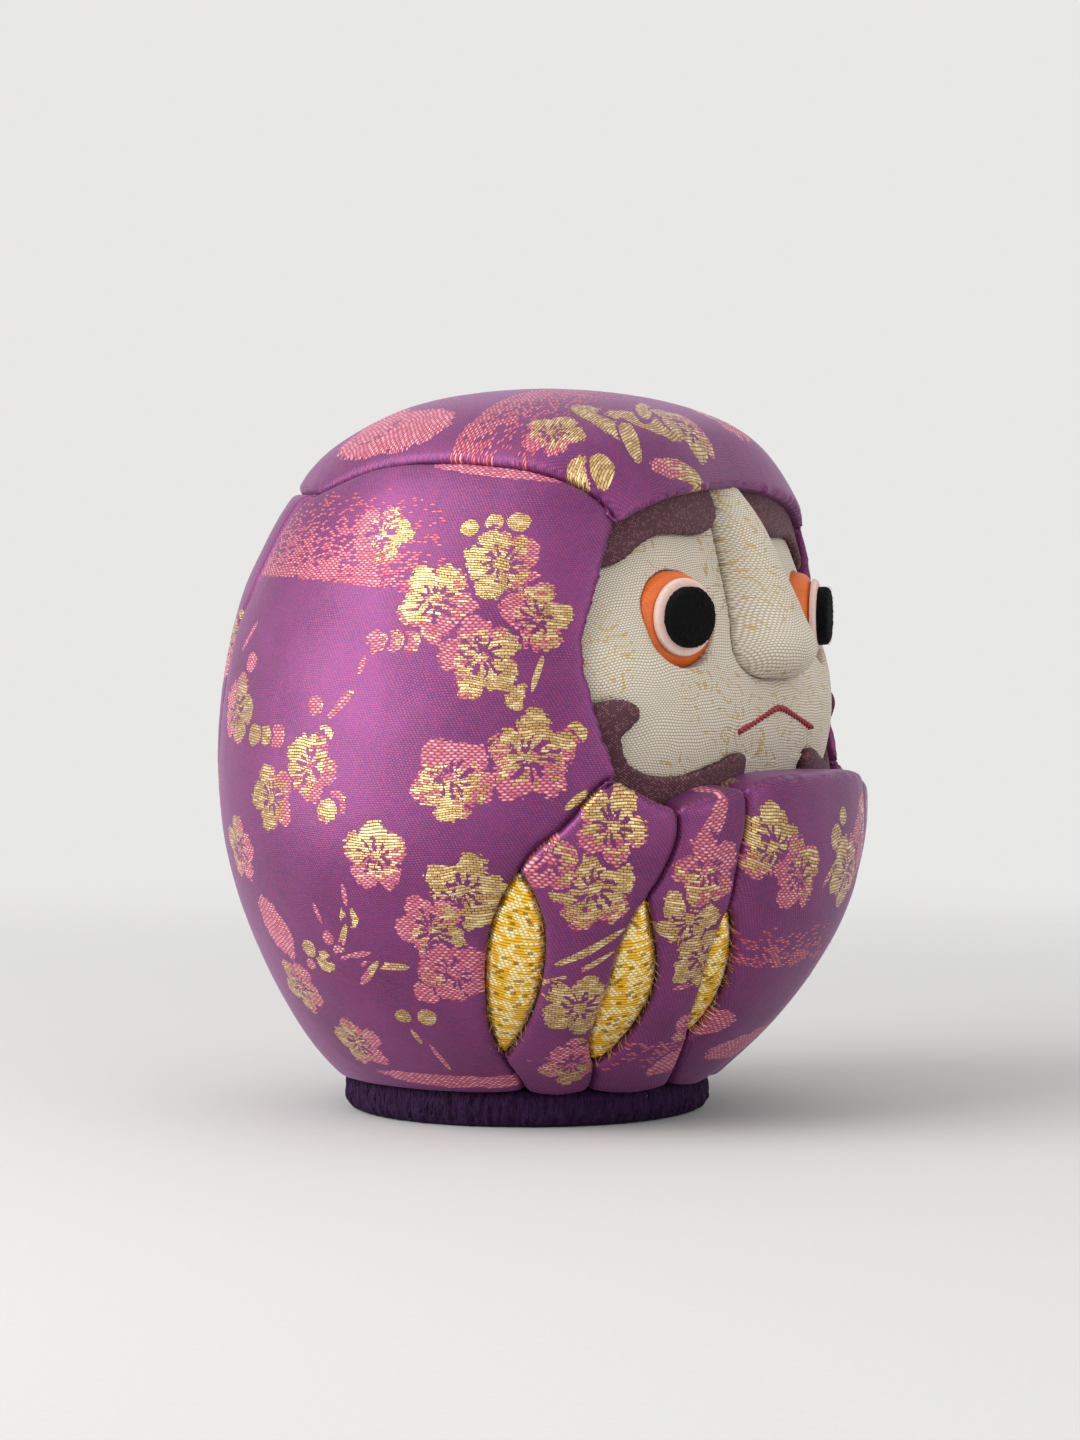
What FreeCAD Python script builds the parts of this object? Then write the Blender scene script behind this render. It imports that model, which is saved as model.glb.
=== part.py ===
import FreeCAD, Part
import math
import os

from FreeCAD import Vector

# A cloth-covered daruma doll. Millimetres, +Z up. The doll looks along -Y, so its own right is -X.
# The origin is the middle of the flat face it stands on.

# ---- overall sizes ----
BODY_WIDTH = 106.6        # widest part of the body, side to side
BODY_DEPTH = 106.6        # widest part of the body, front to back
BODY_HEIGHT = 113.5       # from the top of the pad to the top of the head
PAD_HEIGHT = 6.5          # the round pad that the body is glued to
PAD_RADIUS = 30.5

# ---- cloth and grooves ----
CLOTH = 1.0               # brocade with its thin lining
TUCK = 3.6                # how deep a seam groove goes, from the cloth's outer face
SEAM_GAP = 0.2            # between the two edges tucked into one groove
HEM = 3.0                 # cloth turned in under the body
INSERT_RECESS = 0.3       # the gold inserts lie a little behind the folds
LINING_REACH = 16.0       # deepest that the hood's lining goes in beside the face
FACE_CLOTH = 0.8          # cream brocade of the face
CREPE_PADDING = 1.3       # how far the brows and beards stand above the face cloth

# ---- eyes ----
SOCKET_RADIUS = 7.8
SOCKET_DEPTH = 3.0        # socket floor behind the face at the eye's centre
EYE_FIT = 0.1             # clearance of the orange dome in its socket
IRIS_HEIGHT = 4.0         # orange dome, from the socket floor
IRIS_EDGE = 2.4           # radius of the dome's rounded edge
SILK = 0.5                # orange silk over its padding
WHITE_RADIUS = 6.2
WHITE_THICKNESS = 1.0
PUPIL_RADIUS = 4.85
PUPIL_THICKNESS = 2.0
PUPIL_EDGE = 0.4
PUPIL_RISE = 0.6          # pupil and pale disc sit this much above the dome's centre
EYE_TURN = 20.0           # degrees that each eye faces outwards

# ---- mouth ----
MOUTH_CORD = 1.0          # diameter of the red cord

# ---- pad ----
PAD_CREPE = 0.7
PAD_WADDING = 1.6         # soft layer round the stiff disc
PAD_HEM = 5.0             # crepe turned in underneath
PAD_EDGE = 2.6            # radius of the pad's rounded rims
PAD_SHEET = 0.5           # paper that closes the underside
PAD_FIT = 0.1             # clearance of the disc and the sheet inside the gathered crepe

# The body's cross-sections, bottom to top. Each is an oval that is squarer at the front:
# level (share of the height), forward shift and half depth (shares of half the depth),
# half width (share of half the width), and how square the front is (2 is a true ellipse).
BODY_SECTIONS = [
    (0.000, 0.000, 0.591, 0.591, 2.0),
    (0.066, 0.023, 0.722, 0.726, 2.0),
    (0.185, 0.058, 0.882, 0.889, 2.0),
    (0.303, 0.062, 0.976, 0.979, 2.0),
    (0.383, 0.051, 1.000, 1.000, 2.1),
    (0.480, 0.032, 0.991, 0.991, 2.2),
    (0.603, 0.011, 0.957, 0.940, 2.4),
    (0.722, 0.015, 0.901, 0.868, 2.7),
    (0.806, 0.022, 0.835, 0.780, 3.0),
    (0.872, 0.025, 0.756, 0.695, 3.4),
    (0.921, 0.052, 0.660, 0.606, 3.2),
    (0.960, 0.074, 0.520, 0.480, 2.7),
    (0.986, 0.075, 0.325, 0.310, 2.3),
    (0.997, 0.075, 0.140, 0.135, 2.0),
]
BODY_TOP_SHIFT = 0.075

# The face's cross-sections: level, how far forward (share of half the depth), half width
# (share of half the width).
FACE_SECTIONS = [
    (0.35, 0.800, 0.790),
    (0.436, 0.844, 0.807),
    (0.533, 0.882, 0.825),
    (0.603, 0.863, 0.825),
    (0.674, 0.807, 0.807),
    (0.736, 0.760, 0.779),
    (0.797, 0.722, 0.732),
    (0.859, 0.666, 0.675),
    (0.905, 0.600, 0.600),
]
FACE_BACK = 0.19          # where the face form ends inside the body, share of half the depth
FACE_SQUARENESS = 2.8

# The nose's cross-sections: level, how far forward, half width.
NOSE_SECTIONS = [
    (0.586, 0.920, 0.240),
    (0.600, 0.960, 0.268),
    (0.621, 0.985, 0.270),
    (0.650, 0.972, 0.232),
    (0.683, 0.940, 0.186),
    (0.736, 0.885, 0.155),
    (0.797, 0.818, 0.138),
    (0.859, 0.715, 0.112),
    (0.905, 0.640, 0.100),
]
NOSE_BACK = 0.62

# Seams are lists of (angle from the front in degrees, level on the body), for the doll's left;
# the doll's right is the mirror image.
CROWN_SEAM = [(43, 0.79), (47, 0.841), (52.7, 0.863), (59, 0.876), (70, 0.885), (90, 0.887),
              (100, 0.879), (108.2, 0.863), (115.6, 0.848), (120, 0.838)]
CROWN_BACK_SEAM = [(112, 0.848), (140, 0.852), (180, 0.856), (220, 0.852), (248, 0.848)]
BACK_SEAM = [(112, 0.856), (115.6, 0.848), (121.4, 0.838), (126, 0.815), (129.4, 0.765), (130.5, 0.72),
             (136, 0.67), (140, 0.577), (143, 0.427), (147, 0.25), (148, 0.12), (146, 0.0)]

# Each fold line runs down from the robe's top edge, opens round a leaf-shaped insert and closes again
# below it. above: the seam down to the insert; rear and front: the insert's two edges between its tips.
FOLD_LINES = {
    "outer": {
        "above": [(44, 0.47), (47, 0.445), (51, 0.415), (54.4, 0.383), (57.7, 0.361), (61.2, 0.325)],
        "rear": [(64, 0.286), (67.4, 0.205), (68.3, 0.128), (67.6, 0.075)],
        "front": [(58.6, 0.288), (56.6, 0.205), (58.4, 0.128), (62, 0.075)],
        "tip": (65.5, 0.047),
        "foot": (60.7, 0.0),
    },
    "middle": {
        "above": [(36, 0.46), (35.3, 0.415), (34.7, 0.383), (35.5, 0.35), (39, 0.290)],
        "rear": [(42, 0.245), (44.0, 0.165), (45.2, 0.106), (45.0, 0.066)],
        "front": [(37.6, 0.245), (34.5, 0.165), (35.0, 0.106), (38.3, 0.055)],
        "tip": (42.5, 0.036),
        "foot": (41, 0.0),
    },
    "inner": {
        "above": [(21.6, 0.47), (21.7, 0.425), (22, 0.37), (23, 0.313), (23.4, 0.270)],
        "rear": [(24.7, 0.225), (24.6, 0.170), (23.3, 0.119), (21.4, 0.088)],
        "front": [(20.6, 0.225), (18.2, 0.165), (17.4, 0.119), (18.4, 0.088)],
        "tip": (20, 0.070),
        "foot": (12.5, 0.0),
    },
}

# Front-view outlines for the doll's left: (share of half the width, level).
BRIM = [(0.591, 0.806), (0.46, 0.834), (0.26, 0.852), (0.0, 0.860)]
HOOD_EDGE = [(0.591, 0.806), (0.640, 0.785), (0.680, 0.744), (0.722, 0.692), (0.755, 0.634),
             (0.760, 0.560), (0.752, 0.500), (0.735, 0.449)]
ROBE_TOP = [(0.735, 0.449), (0.700, 0.425), (0.640, 0.409), (0.545, 0.412), (0.400, 0.430), (0.260, 0.438),
            (0.0, 0.4396)]
BROW = [(0.103, 0.850), (0.108, 0.822), (0.165, 0.800), (0.262, 0.789), (0.375, 0.790), (0.488, 0.780),
        (0.580, 0.754), (0.645, 0.741), (0.720, 0.745), (0.740, 0.800), (0.600, 0.850), (0.400, 0.885),
        (0.180, 0.895)]
BEARD = [(0.800, 0.522), (0.745, 0.546), (0.700, 0.556), (0.665, 0.553), (0.648, 0.540), (0.665, 0.523),
         (0.684, 0.512), (0.683, 0.492), (0.668, 0.474), (0.630, 0.458), (0.565, 0.449), (0.467, 0.449),
         (0.366, 0.461), (0.280, 0.474), (0.222, 0.476), (0.203, 0.462), (0.218, 0.435), (0.230, 0.395),
         (0.480, 0.370), (0.730, 0.400), (0.830, 0.460)]
MOUTH = [(0.252, 0.508), (0.0, 0.543)]   # end and apex of the mouth
EYE_PLACE = (0.432, 0.666)

FRONT = Vector(0, -1, 0)
UP = Vector(0, 0, 1)
CENTRE = Vector(0, 0, 0)


def height_at(level, inset=0.0):
    """Height above the floor of a level on the body, on a form that is inset on all sides."""
    return PAD_HEIGHT + inset + level * (BODY_HEIGHT - 2 * inset)


def width_share(share, inset=0.0):
    return share * (BODY_WIDTH / 2 - inset)


def depth_share(share, inset=0.0):
    return share * (BODY_DEPTH / 2 - inset)


def oval_reach(cos_turn, sin_turn, squareness):
    """Distance to a unit oval that is an ellipse at the back and squarer at the front."""
    power = 2.0 + (squareness - 2.0) * max(0.0, -sin_turn)
    return (abs(cos_turn) ** power + abs(sin_turn) ** power) ** (-1 / power)


def closed_curve(points):
    curve = Part.BSplineCurve()
    curve.interpolate(points, True)
    return Part.Wire([curve.toShape()])


def open_curve(points):
    curve = Part.BSplineCurve()
    curve.interpolate(points)
    return curve.toShape()


def mirrored(shape):
    """The same piece on the doll's right."""
    return shape.mirror(CENTRE, Vector(1, 0, 0))


# ---- forms: closed solids that the cloth and the core are cut from ----

def body_form(inset=0.0):
    wires = []
    for level, shift, half_width, half_depth, squareness in BODY_SECTIONS:
        points = []
        steps = 16
        for step in range(steps):
            turn = 2 * math.pi * step / steps
            reach = oval_reach(math.cos(turn), math.sin(turn), squareness)
            x = width_share(half_width, inset) * reach * math.cos(turn)
            y = depth_share(half_depth, inset) * reach * math.sin(turn) - depth_share(shift, inset)
            points.append(Vector(x, y, height_at(level, inset)))
        wires.append(closed_curve(points))
    top = Part.Vertex(0, -depth_share(BODY_TOP_SHIFT, inset), height_at(1.0, inset))
    return Part.makeLoft(wires + [top], True, False)


def bulged_form(sections, back, squareness, inset):
    """A form that bulges forward from a flat back, with rounded flanks."""
    wires = []
    for level, forward, half_width in sections:
        z = height_at(level)
        back_y = -depth_share(back)
        reach = depth_share(forward - back) - inset
        half = width_share(half_width) - inset
        points = []
        steps = 12
        for step in range(steps + 1):
            turn = math.pi * step / steps
            cos_turn, sin_turn = math.cos(turn), math.sin(turn)
            size = (abs(cos_turn) ** squareness + abs(sin_turn) ** squareness) ** (-1 / squareness)
            points.append(Vector(half * size * cos_turn, back_y - reach * size * sin_turn, z))
        front = open_curve(points)
        wires.append(Part.Wire([front, Part.makeLine(points[-1], points[0])]))
    return Part.makeLoft(wires, True, False)


def face_form(inset=0.0):
    return bulged_form(FACE_SECTIONS, FACE_BACK, FACE_SQUARENESS, inset)


def nose_form(inset=0.0):
    form = bulged_form(NOSE_SECTIONS, NOSE_BACK, 2.0, inset)
    if inset > 0:
        floor = height_at(NOSE_SECTIONS[0][0]) + inset
        low = Part.makeBox(BODY_WIDTH, BODY_DEPTH, PAD_HEIGHT + floor, Vector(-BODY_WIDTH / 2, -BODY_DEPTH,
                                                                            -PAD_HEIGHT))
        form = form.cut(low)
    return form


# ---- points and blades on the body's surface ----

def section_at(level):
    """Cross-section values at any level, straight-line between the listed ones."""
    table = BODY_SECTIONS
    low, high = table[0], table[1]
    for low, high in zip(table, table[1:]):
        if level <= high[0]:
            break
    share = (level - low[0]) / (high[0] - low[0])
    return [a + share * (b - a) for a, b in zip(low, high)]


def surface_point(angle, level):
    """Point of the body's surface at an angle from the front (towards the doll's left) and a level."""
    _, shift, half_width, half_depth, squareness = section_at(level)
    half_x, half_y, centre_y = width_share(half_width), depth_share(half_depth), -depth_share(shift)
    way = Vector(math.sin(math.radians(angle)), -math.cos(math.radians(angle)), 0)
    near, far = 0.0, BODY_WIDTH + BODY_DEPTH
    for _ in range(40):
        middle = (near + far) / 2
        x, y = way.x * middle / half_x, (way.y * middle - centre_y) / half_y
        size = math.hypot(x, y)
        inside = size < oval_reach(x / size, y / size, squareness) if size > 0 else True
        near, far = (middle, far) if inside else (near, middle)
    return Vector(way.x * near, way.y * near, height_at(level))


def surface_normal(angle, level):
    across = surface_point(angle + 2, level) - surface_point(angle - 2, level)
    low, high = max(level - 0.02, 0.0), min(level + 0.02, 0.98)
    along = surface_point(angle, high) - surface_point(angle, low)
    return across.cross(along).normalize()


OVER = 2.5                # how far a blade stands out of the surface, so that it always cuts through


def blade(places, width, depth, overshoot=4.0):
    """A thin wall that follows a line on the surface, from outside it down to a depth."""
    points = [surface_point(*place) for place in places]
    normals = [surface_normal(*place) for place in places]
    if places[-1][1] == 0.0:      # runs off the body's bottom edge
        way = (points[-1] - points[-2]).normalize()
        points.append(points[-1] + way * overshoot)
        normals.append(normals[-1])
    wires = []
    for index, (point, normal) in enumerate(zip(points, normals)):
        before, after = points[max(index - 1, 0)], points[min(index + 1, len(points) - 1)]
        side = (after - before).cross(normal).normalize() * (width / 2)
        out, back = point + normal * OVER, point - normal * depth
        wires.append(Part.makePolygon([out + side, out - side, back - side, back + side, out + side]))
    return Part.makeLoft(wires, True, False)


def fold_paths(line):
    """The two lines of a fold: one by the insert's rear edge down to the foot, one by its front edge."""
    rear = line["above"] + line["rear"] + [line["tip"], line["foot"]]
    front = [line["above"][-1]] + line["front"] + [line["tip"]]
    return rear, front


def seam_blades(width, depth):
    blades = [blade(CROWN_BACK_SEAM, width, depth)]
    one_side = [blade(CROWN_SEAM, width, depth), blade(BACK_SEAM, width, depth)]
    for line in FOLD_LINES.values():
        rear, front = fold_paths(line)
        one_side += [blade(rear, width, depth), blade(front, width, depth)]
    return blades + one_side + [mirrored(shape) for shape in one_side]


# ---- front-view outlines ----

def outline_points(outline):
    return [Vector(width_share(share), 0, height_at(level)) for share, level in outline]


def forward_prism(face, back_share):
    """A face in the XZ plane, made into a prism that reaches forward out of the doll."""
    start = -depth_share(back_share)
    placed = face.translated(Vector(0, start, 0))
    return placed.extrude(FRONT * (depth_share(1.4) + start))


def opening_face(grow=0.0):
    """The opening of the hood that the face looks out of, grown all round about its middle."""
    half_width = width_share(max(share for share, _ in HOOD_EDGE))
    low, high = (height_at(level) for level in (min(level for _, level in ROBE_TOP), BRIM[-1][1]))
    middle, half_height = (low + high) / 2, (high - low) / 2
    edges = []
    for outline in (BRIM, HOOD_EDGE, ROBE_TOP):
        points = [Vector(point.x * (1 + grow / half_width), 0,
                         middle + (point.z - middle) * (1 + grow / half_height))
                  for point in outline_points(outline)]
        flipped = [Vector(-point.x, 0, point.z) for point in points]
        if points[-1].x == 0:     # crosses the middle: one smooth edge from side to side
            edges.append(open_curve(points + flipped[-2::-1]))
        else:
            edges += [open_curve(points), open_curve(flipped)]
    return Part.Face(Part.Wire(Part.__sortEdges__(edges)))


def opening_prism(grow=0.0):
    return forward_prism(opening_face(grow), FACE_BACK)


def outline_prism(outline):
    return forward_prism(Part.Face(closed_curve(outline_points(outline))), FACE_BACK)


# ---- eyes ----

EYE_WAY = Vector(math.sin(math.radians(EYE_TURN)), -math.cos(math.radians(EYE_TURN)), 0)


def eye_disc(centre, offset, rise, radius, thickness, edge):
    """A disc across the eye's axis, its front rim rounded."""
    base = centre + EYE_WAY * offset + UP * rise
    disc = Part.makeCylinder(radius, thickness, base, EYE_WAY)
    front_rim = [edge_line for edge_line in disc.Edges
                 if abs((edge_line.CenterOfMass - base).dot(EYE_WAY) - thickness) < thickness * 0.01]
    return disc.makeFillet(edge, front_rim[:1]) if edge else disc


def only_solid(shape, name):
    solids = sorted(shape.Solids, key=lambda solid: solid.Volume, reverse=True)
    if not solids:
        raise ValueError(name + " has no solid")
    return solids[0]


def export(name, shape):
    print(name, "solids", len(shape.Solids), "volume", round(shape.Volume, 1), "valid", shape.isValid())
    shape.exportStep("parts/" + name + ".step")


def both_sides(name, left_shape):
    export(name + "_left", left_shape)
    export(name + "_right", mirrored(left_shape))


# ---- the pad under the body ----

def pad_form(radius, low, high, edge):
    solid = Part.makeCylinder(radius, high - low, Vector(0, 0, low))
    rims = [line for line in solid.Edges if line.Closed]
    return solid.makeFillet(edge, rims)


def make_pad():
    top = PAD_HEIGHT - PAD_CREPE
    open_radius = PAD_RADIUS - PAD_HEM
    board_radius = PAD_RADIUS - PAD_CREPE - PAD_WADDING
    cavity = pad_form(PAD_RADIUS - PAD_CREPE, PAD_CREPE, top, PAD_EDGE - PAD_CREPE)
    well = Part.makeCylinder(open_radius, PAD_HEIGHT)
    board = Part.makeCylinder(board_radius, top - PAD_CREPE, Vector(0, 0, PAD_CREPE))
    boss = Part.makeCylinder(open_radius - PAD_FIT, PAD_HEIGHT - PAD_SHEET, Vector(0, 0, PAD_SHEET))
    export("base_cover", pad_form(PAD_RADIUS, 0, PAD_HEIGHT, PAD_EDGE).cut([cavity, well]))
    export("base_padding", cavity.cut(board))
    export("base_board", board.fuse(boss).removeSplitter())
    export("base_sheet", Part.makeCylinder(open_radius - PAD_FIT, PAD_SHEET))


# ---- the mouth ----

def face_point(share, level, outer_face):
    foot = Vector(width_share(share), -depth_share(FACE_BACK), height_at(level))
    line = Part.makeLine(foot, foot + FRONT * BODY_DEPTH)
    return min(line.common(outer_face).Vertexes, key=lambda vertex: vertex.Y).Point


def mouth_cord_shape(outer_face):
    """A cord along an inverted V: two straight runs joined by an arc."""
    (end_share, end_level), (_, apex_level) = MOUTH
    end = face_point(end_share, end_level, outer_face)
    apex = face_point(0.0, apex_level, outer_face)
    other = Vector(-end.x, end.y, end.z)
    run = (end - apex).normalize()
    bend = 2 * MOUTH_CORD
    start, finish = apex + run * bend, apex + Vector(-run.x, run.y, run.z) * bend
    half_turn = math.pi / 2 - run.getAngle(Vector(-run.x, run.y, run.z)) / 2
    sag = bend * math.tan(half_turn / 2)
    inward = (start + finish) / 2 - apex
    top = apex + inward.normalize() * sag
    path = Part.Wire([Part.makeLine(end, start), Part.Arc(start, top, finish).toShape(),
                      Part.makeLine(finish, other)])
    ring = Part.Wire(Part.makeCircle(MOUTH_CORD / 2, end, run))
    return path.makePipeShell([ring], True, True)


# ---- the forms ----
outer_body = body_form()
inner_body = body_form(CLOTH)
outer_face = face_form()
inner_face = face_form(FACE_CLOTH)
deep_face = face_form(TUCK)
padded_face = face_form(-CREPE_PADDING)
outer_nose = nose_form()
inner_nose = nose_form(FACE_CLOTH)
opening = opening_prism()
wide_opening = opening_prism(CLOTH)
grooves = seam_blades(2 * CLOTH + SEAM_GAP, TUCK)
gaps = seam_blades(SEAM_GAP, LINING_REACH)

# ---- core: the body form with grooves, and the face standing in the hood's opening ----
foot_plug = Part.makeCylinder(width_share(BODY_SECTIONS[0][2]) - HEM, 2 * CLOTH, Vector(0, 0, PAD_HEIGHT))
hood_core = inner_body.fuse(foot_plug).cut([wide_opening] + grooves)
hood_core = only_solid(hood_core, "hood core")
face_base = deep_face.common(wide_opening).common(inner_body)
face_core = inner_face.fuse(inner_nose).common(opening)
core = only_solid(hood_core.fuse([face_base, face_core]), "core")

centre = face_point(*EYE_PLACE, outer_face)
socket = eye_disc(centre, -SOCKET_DEPTH, 0, SOCKET_RADIUS, 4 * SOCKET_DEPTH, 0)
sockets = [socket, mirrored(socket)]
cut_core = core.cut(sockets)

front_half = Part.makeBox(2 * BODY_WIDTH, BODY_DEPTH, 2 * BODY_HEIGHT, Vector(-BODY_WIDTH, -BODY_DEPTH, 0))
export("core_front", only_solid(cut_core.common(front_half), "front of the core"))
export("core_back", only_solid(cut_core.cut(front_half), "back of the core"))

# ---- cloth of the hood and the robe ----
cloth = outer_body.cut([opening, core]).cut(gaps)
PANEL_PLACES = {           # a place on each panel, to tell the panels apart
    "crown_panel": (0, 0.96),
    "back_panel": (180, 0.5),
    "side_panel": (90, 0.6),
    "robe_centre": (0, 0.2),
    "robe_inner": (29.5, 0.2),
    "robe_outer": (50, 0.2),
    "gusset_inner": (21.5, 0.16),
    "gusset_middle": (39.5, 0.16),
    "gusset_outer": (62.5, 0.16),
}
insert_form = body_form(INSERT_RECESS)
for name, place in PANEL_PLACES.items():
    spot = surface_point(*place) - surface_normal(*place) * (CLOTH * 0.6)
    panel = min(cloth.Solids, key=lambda solid: solid.distToShape(Part.Vertex(spot))[0])
    if name.startswith("gusset"):
        panel = panel.common(insert_form)
    if place[0] in (0, 180):
        export(name, panel)
    else:
        both_sides(name, panel)
print("cloth solids", len(cloth.Solids))

# ---- face: cloth, nose, brows, beards ----
cord = mouth_cord_shape(outer_face)
trims = {"brow": outline_prism(BROW), "beard": outline_prism(BEARD)}
crepe_form = padded_face.common(opening).cut([core, outer_nose])
cutters = [outer_nose, cord] + sockets
for name, prism in trims.items():
    both_sides(name, only_solid(crepe_form.common(prism), name))
    cutters += [prism, mirrored(prism)]
face_cloth = outer_face.common(opening).cut([core] + cutters)
print("face solids", [round(solid.Volume, 1) for solid in face_cloth.Solids])
export("face_panel", only_solid(face_cloth, "face cloth"))
export("nose_panel", only_solid(outer_nose.common(opening).cut(core), "nose cloth"))
export("mouth_cord", cord)

# ---- eyes ----
iris_radius = SOCKET_RADIUS - EYE_FIT
silk = eye_disc(centre, -SOCKET_DEPTH, 0, iris_radius, IRIS_HEIGHT, IRIS_EDGE)
pad = eye_disc(centre, -SOCKET_DEPTH, 0, iris_radius - SILK, IRIS_HEIGHT - SILK, IRIS_EDGE - SILK)
white_offset = IRIS_HEIGHT - SOCKET_DEPTH
both_sides("iris", silk.cut(pad))
both_sides("iris_pad", pad)
both_sides("eye_white", eye_disc(centre, white_offset, PUPIL_RISE, WHITE_RADIUS, WHITE_THICKNESS,
                                 WHITE_THICKNESS / 2))
both_sides("pupil", eye_disc(centre, white_offset + WHITE_THICKNESS, PUPIL_RISE, PUPIL_RADIUS,
                             PUPIL_THICKNESS, PUPIL_EDGE))
make_pad()
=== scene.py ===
# %% [markdown]
# A cloth-covered daruma doll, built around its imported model.
#
# The doll is made the kimekomi way: a moulded core has grooves along its seams, brocade is laid over the
# core, and each cut edge is tucked into a groove with a blunt blade. So what the eye reads is not the
# cloth's pattern alone, but how every panel rolls over into its groove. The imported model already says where
# each panel lies. This file gives the panels their soft edges, their weave and their woven blossoms.

# %% The frame
import math
import random

import bmesh
import bpy
import numpy as np
from mathutils import Matrix, Vector, noise
from mathutils.bvhtree import BVHTree


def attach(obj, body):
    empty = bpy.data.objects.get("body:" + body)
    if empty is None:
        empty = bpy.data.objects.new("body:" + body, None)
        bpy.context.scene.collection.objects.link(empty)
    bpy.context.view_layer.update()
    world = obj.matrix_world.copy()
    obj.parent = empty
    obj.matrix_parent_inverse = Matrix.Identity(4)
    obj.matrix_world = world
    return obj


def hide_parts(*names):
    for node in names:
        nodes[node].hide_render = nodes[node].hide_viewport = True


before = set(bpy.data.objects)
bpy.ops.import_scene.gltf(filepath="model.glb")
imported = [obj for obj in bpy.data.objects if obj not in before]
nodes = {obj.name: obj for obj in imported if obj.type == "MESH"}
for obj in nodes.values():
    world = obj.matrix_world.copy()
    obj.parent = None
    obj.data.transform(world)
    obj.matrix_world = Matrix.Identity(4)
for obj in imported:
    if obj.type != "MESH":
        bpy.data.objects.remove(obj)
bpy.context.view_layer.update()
MM = 0.001

# %% [markdown]
# The camera stands low at the doll's right front, far enough away for a 100 mm lens. It is the first thing
# made.

# %% Camera
TURN = math.radians(60)            # round from the doll's front towards its right
DISTANCE = 674 * MM                # from the doll's upright axis
LOOK_DOWN = math.radians(1.8)
camera = bpy.data.objects.new("camera", bpy.data.cameras.new("camera"))
bpy.context.scene.collection.objects.link(camera)
camera.data.lens = 100
camera.data.sensor_width = 36
camera.data.clip_start = 0.05
bpy.context.scene.view_settings.view_transform = "Standard"
camera.location = (-DISTANCE * math.sin(TURN) + 1.1 * MM, -DISTANCE * math.cos(TURN) - 1.9 * MM, 86.3 * MM)
camera.rotation_euler = (math.pi / 2 - LOOK_DOWN, 0, -TURN)
bpy.context.scene.camera = camera
print("camera:", round(DISTANCE / MM), "mm away, lens", camera.data.lens)

# %% [markdown]
# A few helpers come up in every step below. One adds a mesh object from a bmesh, one makes a merged copy of
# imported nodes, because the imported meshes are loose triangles, and one makes a tree that answers how far a
# point is from the named nodes.

# %% Mesh helpers
def new_piece(name, bm, body="root"):
    mesh = bpy.data.meshes.new(name)
    bm.to_mesh(mesh)
    bm.free()
    piece = bpy.data.objects.new(name, mesh)
    bpy.context.scene.collection.objects.link(piece)
    mesh.polygons.foreach_set("use_smooth", [True] * len(mesh.polygons))
    if body:
        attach(piece, body)
    return piece


def merged_copy(names):
    bm = bmesh.new()
    for name in names:
        bm.from_mesh(nodes[name].data)
    bmesh.ops.remove_doubles(bm, verts=bm.verts, dist=0.002 * MM)
    return bm


def distance_tree(names):
    """A tree over the named nodes, and the node that each of its triangles belongs to."""
    points, triangles, owners = [], [], []
    for owner, name in enumerate(names):
        mesh = nodes[name].data
        start = len(points)
        points += [vertex.co.copy() for vertex in mesh.vertices]
        triangles += [[start + corner for corner in face.vertices] for face in mesh.polygons]
        owners += [owner] * len(mesh.polygons)
    return BVHTree.FromPolygons(points, triangles), owners


def distances(tree, verts, limit):
    """How far each vertex is from a tree, up to a limit."""
    found = (tree.find_nearest(vert.co, limit)[3] for vert in verts)
    return np.array([limit if distance is None else distance for distance in found])


# %% [markdown]
# **The cloth surface.** All the panels of the hood and robe together make one skin, broken only by seams.
# It could be modelled panel by panel, but then the two sides of a seam would not match. So the skin is made
# whole first: the panels are swollen by a hair to close the seams, turned into an even mesh of small squares
# with a voxel remesh, and smoothed so that the rim round the face becomes a soft lip. It is cut into panels
# afterwards.

# %% An even skin
def even_skin(names, square, swell, smoothing):
    """One even, closed mesh round all the named nodes."""
    bm = merged_copy(names)
    bm.normal_update()
    for vert in bm.verts:
        vert.co += vert.normal * swell
    rough = new_piece("rough_skin", bm, body=None)
    remesh = rough.modifiers.new("even", "REMESH")
    remesh.mode = "VOXEL"
    remesh.voxel_size = square
    depsgraph = bpy.context.evaluated_depsgraph_get()
    even = bpy.data.meshes.new_from_object(rough.evaluated_get(depsgraph))
    bpy.data.objects.remove(rough)
    bm = bmesh.new()
    bm.from_mesh(even)
    bpy.data.meshes.remove(even)
    smooth(bm.verts, bm, smoothing)
    return bm


def smooth(verts, bm, passes):
    for _ in range(passes):
        bmesh.ops.smooth_vert(bm, verts=verts, factor=0.5, use_axis_x=True, use_axis_y=True, use_axis_z=True)
    bm.normal_update()


def drop_inside(bm, hidden_tree, clearance):
    """Deletes the faces that lie against what is under the cloth."""
    near = distances(hidden_tree, bm.verts, 2 * clearance) < clearance
    bm.verts.index_update()
    hidden = [face for face in bm.faces if all(near[vert.index] for vert in face.verts)]
    bmesh.ops.delete(bm, geom=hidden, context="FACES")
    bm.normal_update()
    lie = bm.verts.layers.float_vector.new("lie")
    for vert in bm.verts:
        vert[lie] = vert.normal


# %% [markdown]
# **Cutting and tucking.** Each face of the skin belongs to the panel nearest to it. A panel's piece is a
# copy of the skin with the other faces deleted. Its ragged edge is pulled onto the seam, and then every
# point sinks by how near it is to the seam: a quarter-round that falls away steeply at the edge. That is
# what thread-thin brocade does when it is pushed into a groove. A little away from the seams the cloth
# stands full, because there is wadding under it.

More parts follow.
